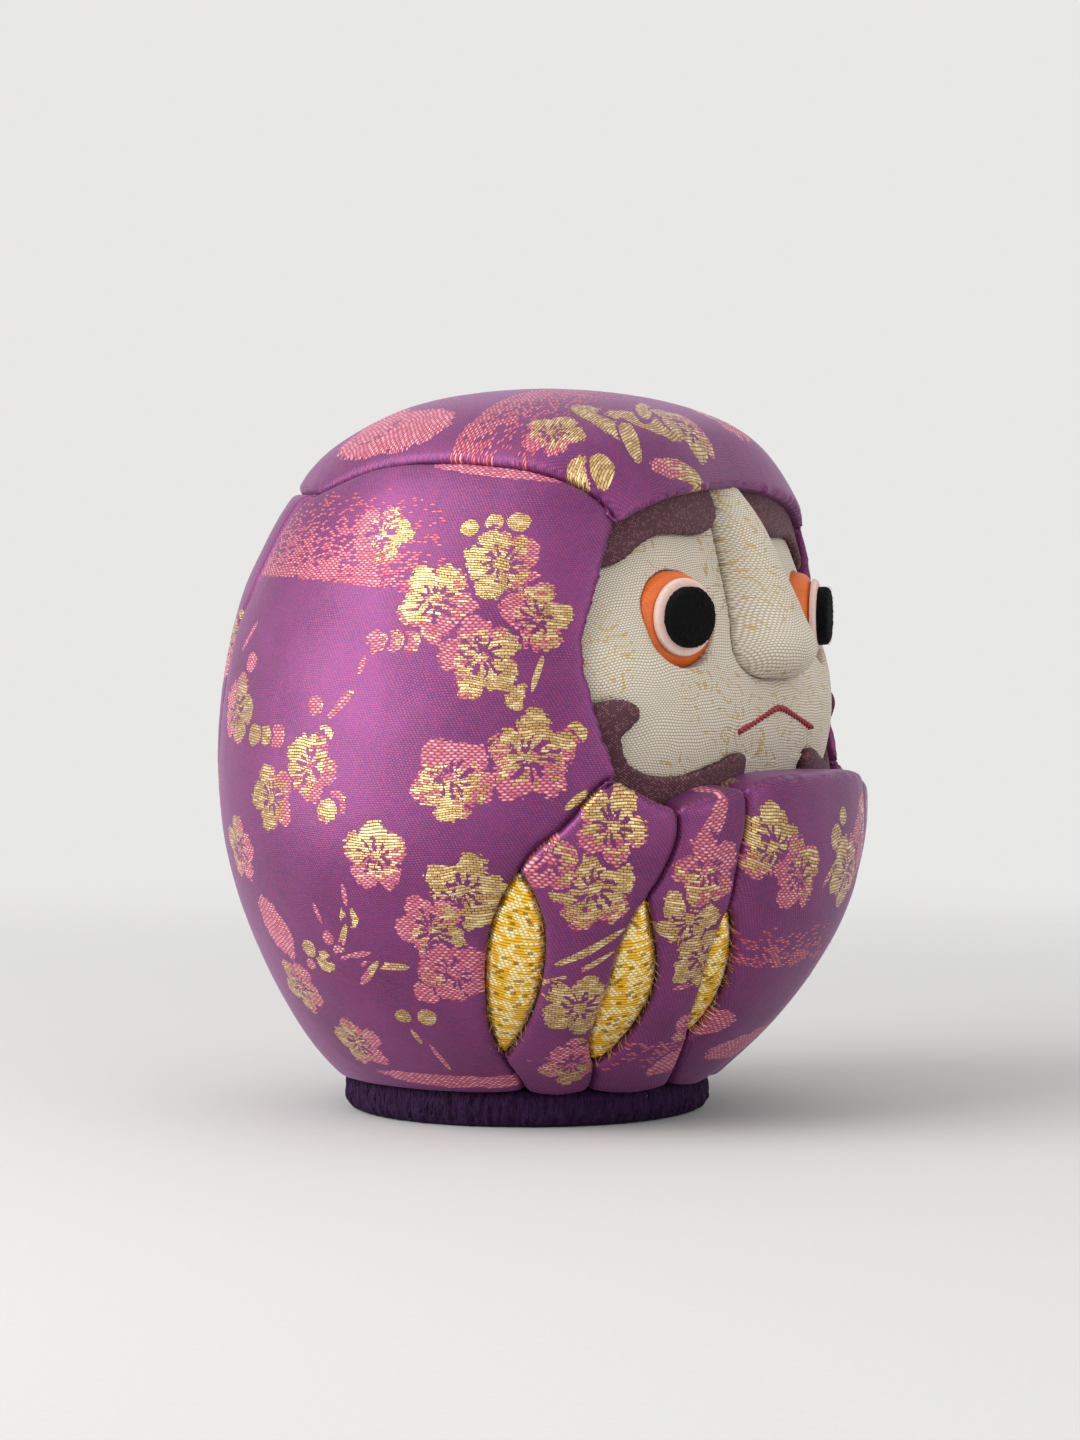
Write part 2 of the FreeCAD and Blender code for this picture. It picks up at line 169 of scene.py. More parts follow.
# %% Tucked panels
TUCK_WIDTH = 1.5 * MM              # the roll into a seam starts this far from it
TUCK_DEPTH = 1.5 * MM
FLANGE = 1.2 * MM                  # cloth that goes straight down into the groove
CLOTH_THICKNESS = 0.3 * MM
REACH = 9 * MM                     # seams further away than this don't matter


def tuck(distance, width, depth):
    """How far a point sinks: a quarter-round, steep at the seam and level at the roll's width."""
    share = np.clip(1 - distance / width, 0, 1)
    return depth * (1 - np.sqrt(1 - share ** 2))


def cut_panel(skin, index, own_tree, other_tree):
    """The skin's part that belongs to one panel, its edge pulled onto the seams."""
    bm = skin.copy()
    layer = bm.faces.layers.int["panel"]
    bmesh.ops.delete(bm, geom=[face for face in bm.faces if face[layer] != index], context="FACES")
    rim = [vert for vert in bm.verts if vert.is_boundary]
    for vert in rim:
        other, _, _, other_distance = other_tree.find_nearest(vert.co)
        own, _, _, own_distance = own_tree.find_nearest(vert.co)
        target, gap = (own, own_distance) if other_distance < own_distance else (other, other_distance)
        if gap < 1.2 * MM:
            vert.co = target
    for _ in range(6):
        evened = []
        for vert in rim:
            along = [edge.other_vert(vert).co for edge in vert.link_edges if edge.is_boundary]
            evened.append(vert.co * 0.5 + sum(along, Vector()) * (0.5 / len(along)))
        for vert, place in zip(rim, evened):
            vert.co = place
    beside = {edge.other_vert(vert) for vert in rim for edge in vert.link_edges}
    beside |= {edge.other_vert(vert) for vert in beside for edge in vert.link_edges}
    bmesh.ops.smooth_vert(bm, verts=[vert for vert in beside if not vert.is_boundary], factor=0.5,
                          use_axis_x=True, use_axis_y=True, use_axis_z=True)
    return bm


def shape_panel(bm, other_tree, width, depth, fullness, ripple, sunk=0.0, flange=FLANGE, holes=()):
    """Rolls the edges into the seams and pads the rest. At a round hole the cloth goes straight down."""
    gaps = distances(other_tree, bm.verts, REACH)
    full = fullness * (1 - np.exp(-gaps / (4 * MM)))
    height = full - tuck(gaps, width, depth) - sunk
    edges = [edge for edge in bm.edges if edge.is_boundary]
    lie = bm.verts.layers.float_vector["lie"]
    for vert, gap, rise in zip(bm.verts, gaps, height):
        waves = noise.noise(vert.co * (1 / (7 * MM))) + 0.6 * noise.noise(vert.co * (1 / (2.2 * MM)))
        near_seam = math.exp(-gap / (2.5 * MM))
        vert.co += vert[lie] * (rise + ripple * waves * (0.35 + near_seam))
    bm.normal_update()
    if flange:
        normals = {tuple(vert.co): vert[lie].copy() for edge in edges for vert in edge.verts}
        for vert in bmesh.ops.extrude_edge_only(bm, edges=edges)["geom"]:
            if isinstance(vert, bmesh.types.BMVert):
                normal = normals[tuple(vert.co)]
                vert.co -= normal * flange
                for middle, out, radius in holes:
                    offset = vert.co + normal * flange - middle
                    level = offset.dot(out)
                    spoke = offset - out * level
                    if spoke.length < radius + 1.6 * MM:
                        vert.co = middle + out * (level - flange) + spoke.normalized() * radius
    return np.concatenate([gaps, np.zeros(len(bm.verts) - len(gaps))])


# %% [markdown]
# **How the cloth lies.** Brocade has a weft that runs across and a warp that runs along, and its figures are
# placed on that grid, in millimetres. So each panel carries its own flat measure of the cloth: u along the
# weft, v along the warp, counted from the panel's middle. A flat cloth over a ball keeps its distances
# from the middle well, so the map used here keeps the arc from the panel's middle to each point.

# %% Weave coordinates
MIDDLE = Vector((0, -2.6, 62)) * MM


def lay_frame(turn, tilt, skew):
    """Middle direction of a panel and its weft and warp directions. turn is from the front towards the
    doll's left, tilt is upwards, skew turns the cloth on the panel, all in degrees."""
    turn, tilt, skew = (math.radians(angle) for angle in (turn, tilt, skew))
    out = Vector((math.sin(turn) * math.cos(tilt), -math.cos(turn) * math.cos(tilt), math.sin(tilt)))
    weft = Vector((0, 0, 1)).cross(out)
    weft = Vector((1, 0, 0)) if weft.length < 0.2 else weft.normalized()
    turned = Matrix.Rotation(skew, 3, out)
    return out, turned @ weft, turned @ out.cross(weft)


def weave_coordinates(bm, lay):
    """u and v in millimetres for every vertex."""
    out, weft, warp = (np.array(axis) for axis in lay)
    points = np.array([vert.co for vert in bm.verts]) - np.array(MIDDLE)
    reach = np.linalg.norm(points, axis=1)
    ways = points / reach[:, None]
    angle = np.arccos(np.clip(ways @ out, -1, 1))
    stretch = reach * angle / np.maximum(np.sin(angle), 1e-6) / MM
    return np.stack([stretch * (ways @ weft), stretch * (ways @ warp)], axis=1)

# %% [markdown]
# **The figures.** The brocade shows plum blossoms, buds and twigs, floated in gold and rose weft. A figure
# is one row: what it is, its middle in the cloth's millimetres, its half length and half width, the way its
# gold side or its length points, and how much of it is gold. The figures are not painted here. Each face of
# a panel only learns which figure it lies on and where in that figure its corners are, in the figure's own
# measure. The material draws petals and stamens from that, so they stay sharp however coarse the mesh is.
#
# The rows are laid as sprays, the way plum grows: a root on the cloth, then each figure by the one that it
# grows from, a clock hour and a distance. A blossom that is moved takes its buds and twigs along.

# %% Figures
DISC, BLOSSOM, ROSE = 1, 2, 3
BLOSSOM_SIZE = 6.4                 # outer radius in millimetres
BUD_SIZE = 2.1
PETAL_OFFSET, PETAL_RADIUS = 0.57, 0.43    # a petal's circle, as shares of the blossom's radius


def blossom(u, v, way, gold, size=BLOSSOM_SIZE):
    return (BLOSSOM, u, v, size, size, way, gold)


def bud(u, v, gold, size=BUD_SIZE):
    return (DISC, u, v, size, size * 0.92, 20, gold)


def twig(u, v, hour, length, gold, width=0.55):
    """A straight shoot that points at a clock hour on the cloth."""
    return (DISC, u, v, length / 2, width, 90 - 30 * hour, gold)


def rose(u, v, length, width, way):
    return (ROSE, u, v, length, width, way, 0)


def spray(u, v, *rows):
    """Figures that grow from one another, out from a root at u, v. A row is the figure that it grows from,
    by its number, or 0 for the root, then its clock hour from there, how far, its maker and its looks."""
    places, figures = [(u, v)], []
    for parent, hour, reach, make, *looks in rows:
        way = math.radians(90 - 30 * hour)
        places.append((places[parent][0] + reach * math.cos(way), places[parent][1] + reach * math.sin(way)))
        figures.append(make(*places[-1], *looks))
    return figures


# Sprays of the side panels, the folds of the robe and the crown.
SIDE_SPRAYS = [
    *spray(16, 22, (0, 0.5, 9.5, blossom, 180, 0.75, 7), (0, 9.5, 8.5, blossom, 130, 0.6, 7),
           (0, 3, 8.5, blossom, 10, 0.55), (0, 6, 7, blossom, -40, 0.6, 7),
           (2, 10.5, 17, blossom, 0, 0.45, 6), (1, 10.5, 9, bud, 1, 1.7), (1, 11.5, 8, bud, 1, 1.7),
           (1, 0.5, 8.5, bud, 1), (4, 4.5, 9, bud, 1, 2.3), (4, 3.5, 9.5, twig, 0.5, 7, 0.9),
           (2, 7, 8, bud, 0.2, 2), (11, 9, 3, bud, 0.2, 2), (12, 9, 3, bud, 0),
           (13, 7, 4.5, twig, 0.5, 3.5, 0), (14, 7, 7.5, twig, 1.5, 7, 0, 0.8), (15, 9, 5, bud, 0, 1.8),
           (15, 7, 6, bud, 1), (17, 7, 4, twig, 1.5, 3.5, 0.5, 0.7)),
    *spray(25, -1, (0, 0, 0, blossom, 90, 0.6, 7.5), (1, 8.5, 13, blossom, -90, 0.45, 7),
           (1, 2, 7.5, bud, 0.8), (1, 4.5, 10, twig, 1.5, 4.5, 1, 0.7)),
    *spray(-14, -3, (0, 0, 0, blossom, 135, 0.6, 6), (1, 8, 11, blossom, 180, 0.7, 6),
           (1, 10, 9.5, bud, 0, 2.2), (3, 9, 3.5, bud, 1, 1.9), (4, 9, 3.5, bud, 1),
           (1, 4.5, 8, bud, 0, 2.3), (1, 5, 8, bud, 0.9, 2.2), (5, 11.5, 13, bud, 0),
           (8, 11, 5.5, twig, 1.5, 8, 0)),
    *spray(-1, -17, (0, 0, 0, blossom, 90, 0.6, 6)),
    *spray(14, -23, (0, 0, 0, blossom, 0, 1, 7), (1, 7.5, 9, blossom, -30, 0.5),
           (2, 5.5, 9, blossom, 180, 0.1), (2, 6.5, 13, bud, 0, 2.6), (4, 6.5, 6, bud, 1, 2),
           (5, 9, 5, bud, 1, 1.6), (6, 5.5, 5, twig, 5.5, 4, 0.6), (7, 5, 6, twig, 5.5, 7, 0)),
    *spray(-8, -28, (0, 0, 0, bud, 1), (1, 0, 4, twig, 0, 4, 0), (1, 9, 7, twig, 11.5, 4, 0, 0.5),
           (3, 5.5, 4.5, bud, 0, 1.4), (1, 7, 5.5, twig, 1, 7.5, 0.5, 0.7), (1, 7, 8, bud, 0, 1.4),
           (6, 8, 5, bud, 1, 2.4), (7, 10, 4, bud, 0.9, 1.9), (8, 6.5, 3.5, bud, 0, 1.3),
           (7, 2.5, 8, twig, 2.5, 8, 0, 0.6), (10, 3.5, 6, twig, 3, 11, 0.6, 0.8),
           (10, 5, 4, twig, 1.5, 8, 0.5, 0.8)),
    *spray(-37, 6, (0, 0, 0, blossom, 0, 0.6), (1, 6, 25, blossom, 160, 0.5, 6),
           (2, 5, 16, rose, 6.5, 4.2, -55)),
    *spray(-27, -45, (0, 0, 0, blossom, 200, 0.6, 6), (1, 4.5, 16, blossom, 170, 0.55)),
    *spray(14, 50, (0, 0, 0, rose, 13, 1.7, -5)), *spray(5, -65, (0, 0, 0, rose, 21, 1.9, -3)),
]
OUTER_FOLD = [
    *spray(1, 6, (0, 0, 0, blossom, 100, 0.95, 7), (1, 0.5, 10, blossom, 60, 0.7, 6),
           (1, 10, 8.5, blossom, 20, 0.3, 5), (1, 6, 10, twig, 2, 13, 1, 0.7),
           (4, 6, 3, twig, 2, 8, 0.7, 0.5), (5, 8, 7, twig, 2, 6, 1, 0.6)),
    *spray(0, -15, (0, 0, 0, blossom, 0, 1), (1, 2, 7, bud, 0.1), (1, 6, 9, bud, 0.2),
           (1, 6, 14, blossom, -90, 0.35, 5.5)),
]
INNER_FOLD = [
    *spray(-3, 1, (0, 0, 0, blossom, 0, 1, 5.5), (1, 0.5, 8, blossom, 250, 0.35, 6),
           (1, 5, 8.5, blossom, 0, 1, 5.5), (2, 0, 6, rose, 6, 1.6, 60),
           (3, 6, 4.5, twig, 2.5, 8, 0.2, 0.6), (3, 5.5, 15, blossom, -60, 0.4, 4.5),
           (6, 6, 9, rose, 5.5, 3.2, 30)),
]
CENTRE_FOLD = [
    *spray(-17, 11, (0, 0, 0, blossom, 90, 0.9), (1, 4, 8, blossom, 30, 0.35, 6),
           (2, 3, 17, blossom, 200, 0.7), (3, 2, 10, blossom, 30, 0.4, 6), (3, 10.5, 8, bud, 1),
           (5, 1.5, 4, bud, 1, 1.5), (3, 9, 7, twig, 1.5, 6, 0.6)),
    *spray(-14, -22, (0, 0, 0, rose, 6, 3, 20), (1, 3.5, 18, rose, 12, 3.4, 10)),
]
CROWN_SPRAYS = [
    *spray(-33, 10, (0, 0, 0, rose, 12.5, 7.5, 80), (1, 1.5, 8, rose, 9, 5, 20)),
    *spray(-36, -31, (0, 10.5, 2, bud, 0.9, 2.6), (0, 4.5, 2, bud, 1, 2.6),
           (1, 1, 9, blossom, 0, 0.7, 5.5), (1, 2.5, 14, twig, 0.5, 15, 1, 3.2),
           (4, 4, 8, twig, 4.5, 14, 1, 3), (5, 8.5, 8, twig, 1.5, 9, 1, 1.8),
           (5, 2, 6, twig, 2, 11, 1, 1.5), (5, 6.5, 9, twig, 3.5, 13, 0.5, 1.6),
           (5, 3.5, 10, blossom, 180, 0.85, 6)),
    *spray(4, -12, (0, 0, 0, blossom, 0, 0.7), (1, 5, 19, blossom, 90, 0.5), (1, 5, 10, bud, 1),
           (1, 1.5, 10, bud, 1), (1, 0, 14, twig, 1, 13, 0.5), (5, 0.5, 17, blossom, 20, 0.4),
           (6, 10.5, 20, blossom, 200, 0.7), (1, 2, 25, rose, 14, 5, 70), (2, 2, 15, blossom, 120, 0.6),
           (6, 2, 16, blossom, 200, 0.6), (6, 11, 18, bud, 1), (11, 11.5, 6, rose, 9, 3, 0)),
]


def moved(figures, du, dv, turn):
    """The same figures shifted and turned on the cloth, for a panel cut from another part of it."""
    way = math.radians(turn)
    return [(kind, u * math.cos(way) - v * math.sin(way) + du, u * math.sin(way) + v * math.cos(way) + dv,
             length, width, angle + turn, gold) for kind, u, v, length, width, angle, gold in figures]


# %% [markdown]
# Bands of rose mist cross the figures. A band has one sharp edge and thins out away from it, because the
# rose weft shows in fewer and fewer single dots. Here a band is a point and a way on the cloth, how far it
# reaches before it is gone, and the stretch along its edge where it is densest.

# %% Mist bands
def mist_density(weave, bands):
    density = np.zeros(len(weave))
    for u, v, way, reach, along_low, along_high in bands:
        across = np.array([math.cos(math.radians(way)), math.sin(math.radians(way))])
        offset = weave - np.array([u, v])
        depth = offset @ across
        along = offset @ np.array([across[1], -across[0]])
        fade = np.clip(1 - depth / reach, 0, 1) * (depth > 0)
        ends = np.clip((along - along_low) / 14, 0, 1) * np.clip((along_high - along) / 14, 0, 1)
        density = np.maximum(density, fade * ends)
    return density


# %% Figures onto faces
CLEARANCE = 0.55                   # a figure's faces reach this far past its outline, in millimetres


def petal_outline(angle):
    """Outline of a five-petalled blossom of radius 1."""
    fold = (angle + math.pi / 5) % (2 * math.pi / 5) - math.pi / 5
    rest = PETAL_RADIUS ** 2 - (PETAL_OFFSET * np.sin(fold)) ** 2
    return PETAL_OFFSET * np.cos(fold) + np.sqrt(np.maximum(rest, 0))


def mark_figures(mesh, weave, figures, bands, seam_distance):
    """Writes the cloth's maps: weave, figure, kind and mist. A blossom covers any other figure it meets."""
    figures = sorted(figures, key=lambda figure: figure[0] == BLOSSOM)
    corner_verts = np.zeros(len(mesh.loops), int)
    mesh.loops.foreach_get("vertex_index", corner_verts)
    starts, counts = np.zeros(len(mesh.polygons), int), np.zeros(len(mesh.polygons), int)
    mesh.polygons.foreach_get("loop_start", starts)
    mesh.polygons.foreach_get("loop_total", counts)
    corner_faces = np.repeat(np.arange(len(mesh.polygons)), counts)
    corner_weave = weave[corner_verts]
    centres = np.add.reduceat(corner_weave, starts) / counts[:, None]
    chosen = np.full(len(mesh.polygons), -1)
    places = []
    for number, (kind, u, v, length, width, way, gold) in enumerate(figures):
        cos_way, sin_way = math.cos(math.radians(way)), math.sin(math.radians(way))
        turned = np.array([[cos_way, -sin_way], [sin_way, cos_way]]) / np.array([length, width])
        places.append((np.array([u, v]), turned, kind, gold))
        local = (centres - (u, v)) @ turned
        size = np.linalg.norm(local, axis=1)
        outline = petal_outline(np.arctan2(local[:, 1], local[:, 0])) if kind == BLOSSOM else 1.0
        chosen[(size - outline) * width < (0.1 if kind == ROSE else CLEARANCE)] = number
    figure_map, kind_map = np.zeros((len(corner_verts), 2)), np.zeros((len(corner_verts), 2))
    for number, (place, turned, kind, gold) in enumerate(places):
        mine = chosen[corner_faces] == number
        figure_map[mine] = (corner_weave[mine] - place) @ turned
        kind_map[mine] = (kind, gold)
    mist = np.stack([mist_density(weave, bands), seam_distance / MM], axis=1)[corner_verts]
    for name, values in (("weave", corner_weave), ("figure", figure_map), ("kind", kind_map), ("mist", mist)):
        layer = mesh.uv_layers.new(name=name)
        layer.data.foreach_set("uv", values.astype(np.float32).ravel())

# %% [markdown]
# **Looks.** Every finish is built from nodes. Colours are written as sRGB hex values, the way a dyer's card
# or a paint chart gives them, and one function turns them linear for the shader. One more function adds a
# node with its settings and links, so a material reads from its first node to its last.

# %% Node helpers
def linear(colour):
    """An sRGB hex colour such as "#E0681A" as a linear colour with alpha."""
    channels = [int(colour[place:place + 2], 16) / 255 for place in (1, 3, 5)]
    return [channel / 12.92 if channel <= 0.04045 else ((channel + 0.055) / 1.055) ** 2.4
            for channel in channels] + [1.0]


def start_material(name):
    """A new material, its node tree and its shader."""
    material = bpy.data.materials.new(name)
    material.use_nodes = True
    tree = material.node_tree
    shader = next(node for node in tree.nodes if node.type == "BSDF_PRINCIPLED")
    return material, tree, shader


def add(tree, kind, *inputs, out=0, **settings):
    """Adds one node, such as "Math.ADD", and gives its output. Inputs are numbers, colours or outputs."""
    kind, _, operation = kind.partition(".")
    node = tree.nodes.new("ShaderNode" + kind)
    if operation:
        node.operation = operation
    for setting, value in settings.items():
        setattr(node, setting, value)
    usable = [socket for socket in node.inputs if socket.enabled]
    for socket, value in zip(usable, inputs):
        if isinstance(value, bpy.types.NodeSocket):
            tree.links.new(value, socket)
        elif value is not None:
            socket.default_value = linear(value) if isinstance(value, str) else value
    return [socket for socket in node.outputs if socket.enabled][out]


def wear(tree, shader, **looks):
    """Sets or links the shader's own sockets, named with underscores for spaces."""
    for socket, value in looks.items():
        socket = shader.inputs[socket.replace("_", " ")]
        if isinstance(value, bpy.types.NodeSocket):
            tree.links.new(value, socket)
        else:
            socket.default_value = linear(value) if isinstance(value, str) else value


# %% [markdown]
# **Woven threads.** A figured brocade has a satin ground, where fine warp threads hide the weft, and
# figures where thick gold or rose weft lies on top in rows. Both are drawn on the same grid of rows and
# stitches. Each stitch is one cell, and neighbouring rows are set off by half a stitch, as bricks are. What
# a cell shows is decided once for the whole cell, so the edge of a petal is ragged in the way of real
# weaving. The real rows are about half a millimetre apart, and so are these.

# %% Stitch grid
ROW = 0.45                         # distance from one weft row to the next, in millimetres
STITCH = 1.1                       # length of one float


def stitch_grid(tree, row, stitch, shift):
    """Per-cell noise and the place within a row and a stitch."""
    lay = add(tree, "UVMap", uv_map="weave")
    waver = add(tree, "TexNoise", lay, 0.11, 1.0, noise_dimensions="2D")
    u = add(tree, "SeparateXYZ", lay)
    v = add(tree, "SeparateXYZ", lay, out=1)
    rows = add(tree, "Math.DIVIDE", add(tree, "Math.MULTIPLY_ADD", waver, 2.2, v), row)
    row_number = add(tree, "Math.FLOOR", rows)
    in_row = add(tree, "Math.FRACT", rows)
    stitches = add(tree, "Math.ADD", add(tree, "Math.DIVIDE", u, stitch),
                   add(tree, "Math.MULTIPLY", row_number, shift))
    stitch_number = add(tree, "Math.FLOOR", stitches)
    in_stitch = add(tree, "Math.FRACT", stitches)
    cell = add(tree, "CombineXYZ", stitch_number, row_number)
    chance = add(tree, "TexWhiteNoise", cell, noise_dimensions="2D")
    other = add(tree, "TexWhiteNoise", add(tree, "VectorMath.ADD", cell, (31.7, 12.3, 0)),
                noise_dimensions="2D")
    # A round thread seen across its row: bright in the middle and dark in the gap. In colour this profile is
    # painted highlight and shade; in relief it is the thread's round shape.
    thread = add(tree, "Math.SINE", add(tree, "Math.MULTIPLY", in_row, math.pi))
    dash = add(tree, "Math.SINE", add(tree, "Math.MULTIPLY", in_stitch, math.pi))
    return chance, other, thread, dash


# %% [markdown]
# ** The purple kimono brocade** is silk or rayon with gold-foil thread. Satin is smooth along its warp, so
# its light is soft and wide and takes the cloth's own colour, which a part-metallic shader gives, helped by
# slow patches of painted sheen. Foil thread is a true metallic, and its small bright glints and the dark
# gaps between its rows are painted highlight and shade in its colour. The rose weft is matt floss.

# %% Purple brocade
def purple_brocade():
    material, tree, shader = start_material("purple figured kimono brocade")
    chance, other, thread, dash = stitch_grid(tree, ROW, STITCH, 0.5)
    # No two woven blossoms are alike, so the place inside a figure is bent by a slow noise on the cloth.
    bend = add(tree, "TexNoise", add(tree, "UVMap", uv_map="weave"), 0.27, 1.0, noise_dimensions="2D", out=1)
    bend = add(tree, "VectorMath.SCALE", add(tree, "VectorMath.SUBTRACT", bend, (0.5, 0.5, 0.5)), 0.34)
    place = add(tree, "VectorMath.ADD", add(tree, "UVMap", uv_map="figure"), bend)
    kind_map = add(tree, "UVMap", uv_map="kind")
    kind = add(tree, "SeparateXYZ", kind_map)
    gold_share = add(tree, "SeparateXYZ", kind_map, out=1)
    mist_map = add(tree, "UVMap", uv_map="mist")
    mist = add(tree, "SeparateXYZ", mist_map)
    x = add(tree, "SeparateXYZ", place)
    y = add(tree, "SeparateXYZ", place, out=1)
    size = add(tree, "VectorMath.LENGTH", place)
    angle = add(tree, "Math.ARCTAN2", y, x)

    # A petal is a circle set off from the middle, and the outline is the furthest point of the nearest one.
    fifth = 2 * math.pi / 5
    fold = add(tree, "Math.PINGPONG", angle, fifth / 2)
    bulge = add(tree, "Math.MULTIPLY", add(tree, "Math.COSINE", fold), PETAL_OFFSET)
    side = add(tree, "Math.MULTIPLY", add(tree, "Math.SINE", fold), PETAL_OFFSET)
    rest = add(tree, "Math.SQRT",
               add(tree, "Math.SUBTRACT", PETAL_RADIUS ** 2, add(tree, "Math.MULTIPLY", side, side)))
    petals = add(tree, "Math.ADD", bulge, rest)
    ragged = add(tree, "Math.MULTIPLY_ADD", chance, 0.13, -0.065)
    ragged_size = add(tree, "Math.ADD", size, ragged)
    in_blossom = add(tree, "Math.LESS_THAN", ragged_size, petals)
    in_disc = add(tree, "Math.LESS_THAN", add(tree, "Math.MULTIPLY_ADD", chance, 0.16, size), 1.06)
    is_blossom = add(tree, "Math.COMPARE", kind, float(BLOSSOM), 0.1)
    is_disc = add(tree, "Math.COMPARE", kind, float(DISC), 0.1)
    is_rose = add(tree, "Math.COMPARE", kind, float(ROSE), 0.1)
    disc_or_rose = add(tree, "Math.ADD", is_disc, is_rose)
    inside = add(tree, "Math.ADD", add(tree, "Math.MULTIPLY", is_blossom, in_blossom),
                 add(tree, "Math.MULTIPLY", disc_or_rose, in_disc))

    # Stamens: ten short dashes round the middle, and a dark line between petals.
    tenth = math.pi / 5
    spoke = add(tree, "Math.PINGPONG", add(tree, "Math.ADD", angle, tenth / 2), tenth)
    spoke_offset = add(tree, "Math.MULTIPLY",
                       add(tree, "Math.ABSOLUTE", add(tree, "Math.SUBTRACT", spoke, tenth / 2)), size)
    spoke_ragged = add(tree, "Math.MULTIPLY_ADD", other, 0.07, spoke_offset)
    on_spoke = add(tree, "Math.LESS_THAN", spoke_ragged, 0.078)
    spoke_reach = add(tree, "Math.LESS_THAN", add(tree, "Math.MULTIPLY_ADD", other, 0.16, size), 0.56)
    spoke_start = add(tree, "Math.GREATER_THAN", add(tree, "Math.MULTIPLY_ADD", chance, 0.08, size), 0.2)
    stamens = add(tree, "Math.MULTIPLY", on_spoke, add(tree, "Math.MULTIPLY", spoke_reach, spoke_start))
    notch = add(tree, "Math.SUBTRACT", fifth / 2, fold)
    near_notch = add(tree, "Math.LESS_THAN", add(tree, "Math.MULTIPLY", notch, size), 0.04)
    split = add(tree, "Math.MULTIPLY", near_notch,
                add(tree, "Math.GREATER_THAN", add(tree, "Math.MULTIPLY_ADD", other, 0.3, size), 0.92))
    open_ground = add(tree, "Math.MULTIPLY", is_blossom, add(tree, "Math.MAXIMUM", stamens, split))
    figure = add(tree, "Math.MULTIPLY", inside, add(tree, "Math.SUBTRACT", 1.0, open_ground))

    # Gold turns to rose across the figure through a band where the two mix cell by cell.
    rim = add(tree, "Math.GREATER_THAN", add(tree, "Math.SUBTRACT", size, petals), -0.11)
    edge = add(tree, "Math.MULTIPLY", is_blossom, add(tree, "Math.MULTIPLY", rim, 0.5))
    lean = add(tree, "Math.MULTIPLY_ADD", gold_share, 2.0, -1.0)
    mixed = add(tree, "Math.ADD", add(tree, "Math.ADD", x, lean),
                add(tree, "Math.MULTIPLY_ADD", other, 1.1, -0.55))
    goldness = add(tree, "Math.GREATER_THAN", add(tree, "Math.SUBTRACT", mixed, edge), 0.0)
    all_gold = add(tree, "Math.GREATER_THAN", gold_share, 0.97)
    gold_here = add(tree, "Math.MAXIMUM", goldness, all_gold)
    gold = add(tree, "Math.MULTIPLY", figure,
               add(tree, "Math.MULTIPLY", gold_here, add(tree, "Math.SUBTRACT", 1.0, is_rose)))
    mist_rose = add(tree, "Math.MULTIPLY", add(tree, "Math.LESS_THAN", other, mist),
                    add(tree, "Math.SUBTRACT", 1.0, inside))
    rose_share = add(tree, "Math.MAXIMUM", add(tree, "Math.SUBTRACT", figure, gold), mist_rose)

    # Colours. The ground is shot: its threads run from blue violet to red plum.
    fine = add(tree, "TexNoise", add(tree, "UVMap", uv_map="weave"), 2.6, 2.0, noise_dimensions="2D")
    drift_and_painted_sheen = add(tree, "TexNoise", add(tree, "UVMap", uv_map="weave"), 0.06, 3.0, noise_dimensions="2D")
    satin_chance = stitch_grid(tree, 0.33, 0.58, 0.33)
    shot = add(tree, "Mix", add(tree, "Math.MULTIPLY_ADD", satin_chance[0], 0.7, 0.1), SATIN_BLUE, SATIN_RED,
               data_type="RGBA")
    # Painted shade: the gaps round each satin stitch are darkened towards the shadow colour.
    pits = add(tree, "Math.MULTIPLY", satin_chance[2], satin_chance[3])
    ground = add(tree, "Mix", add(tree, "Math.MULTIPLY_ADD", pits, 1.0, 0.14), SATIN_SHADOW, shot,
                 data_type="RGBA")
    # Painted sheen: slow patches where the satin ground is pulled towards its lit colour.
    ground = add(tree, "Mix", add(tree, "Math.MULTIPLY_ADD", drift_and_painted_sheen, 0.6, -0.1), ground, SATIN_LIGHT,
                 data_type="RGBA")
    # Painted highlight and shade: each rose floss thread is lit along its middle and shaded in its gaps, with
    # painted glints on some.
    bright_rose = add(tree, "Math.MULTIPLY", thread, dash)
    rose_colour = add(tree, "Mix", bright_rose, ROSE_SHADOW, ROSE_FLOSS, data_type="RGBA")
    rose_colour = add(tree, "Mix",
                      add(tree, "Math.MULTIPLY", add(tree, "Math.POWER", bright_rose, 2.0), other),
                      rose_colour, ROSE_LIGHT, data_type="RGBA")
    # Gold foil thread: the dark gaps between rows are painted shade and the dark ticks where the warp binds
    # are its own. The pale glints along some threads are painted highlights.
    binding_ticks_and_row_shade = add(tree, "Math.MULTIPLY", thread, add(tree, "Math.GREATER_THAN", dash, 0.2))
    gold_thread = add(tree, "Mix", add(tree, "Math.MULTIPLY", binding_ticks_and_row_shade, 1.25), GOLD_SHADOW, GOLD_FOIL,
                      data_type="RGBA")
    gold_thread = add(tree, "Mix", add(tree, "Math.MULTIPLY", thread, add(tree, "Math.POWER", chance, 2.0)),
                      gold_thread, GOLD_LIGHT, data_type="RGBA")
    colour = add(tree, "Mix", rose_share, ground, rose_colour, data_type="RGBA")
    colour = add(tree, "Mix", gold, colour, gold_thread, data_type="RGBA")

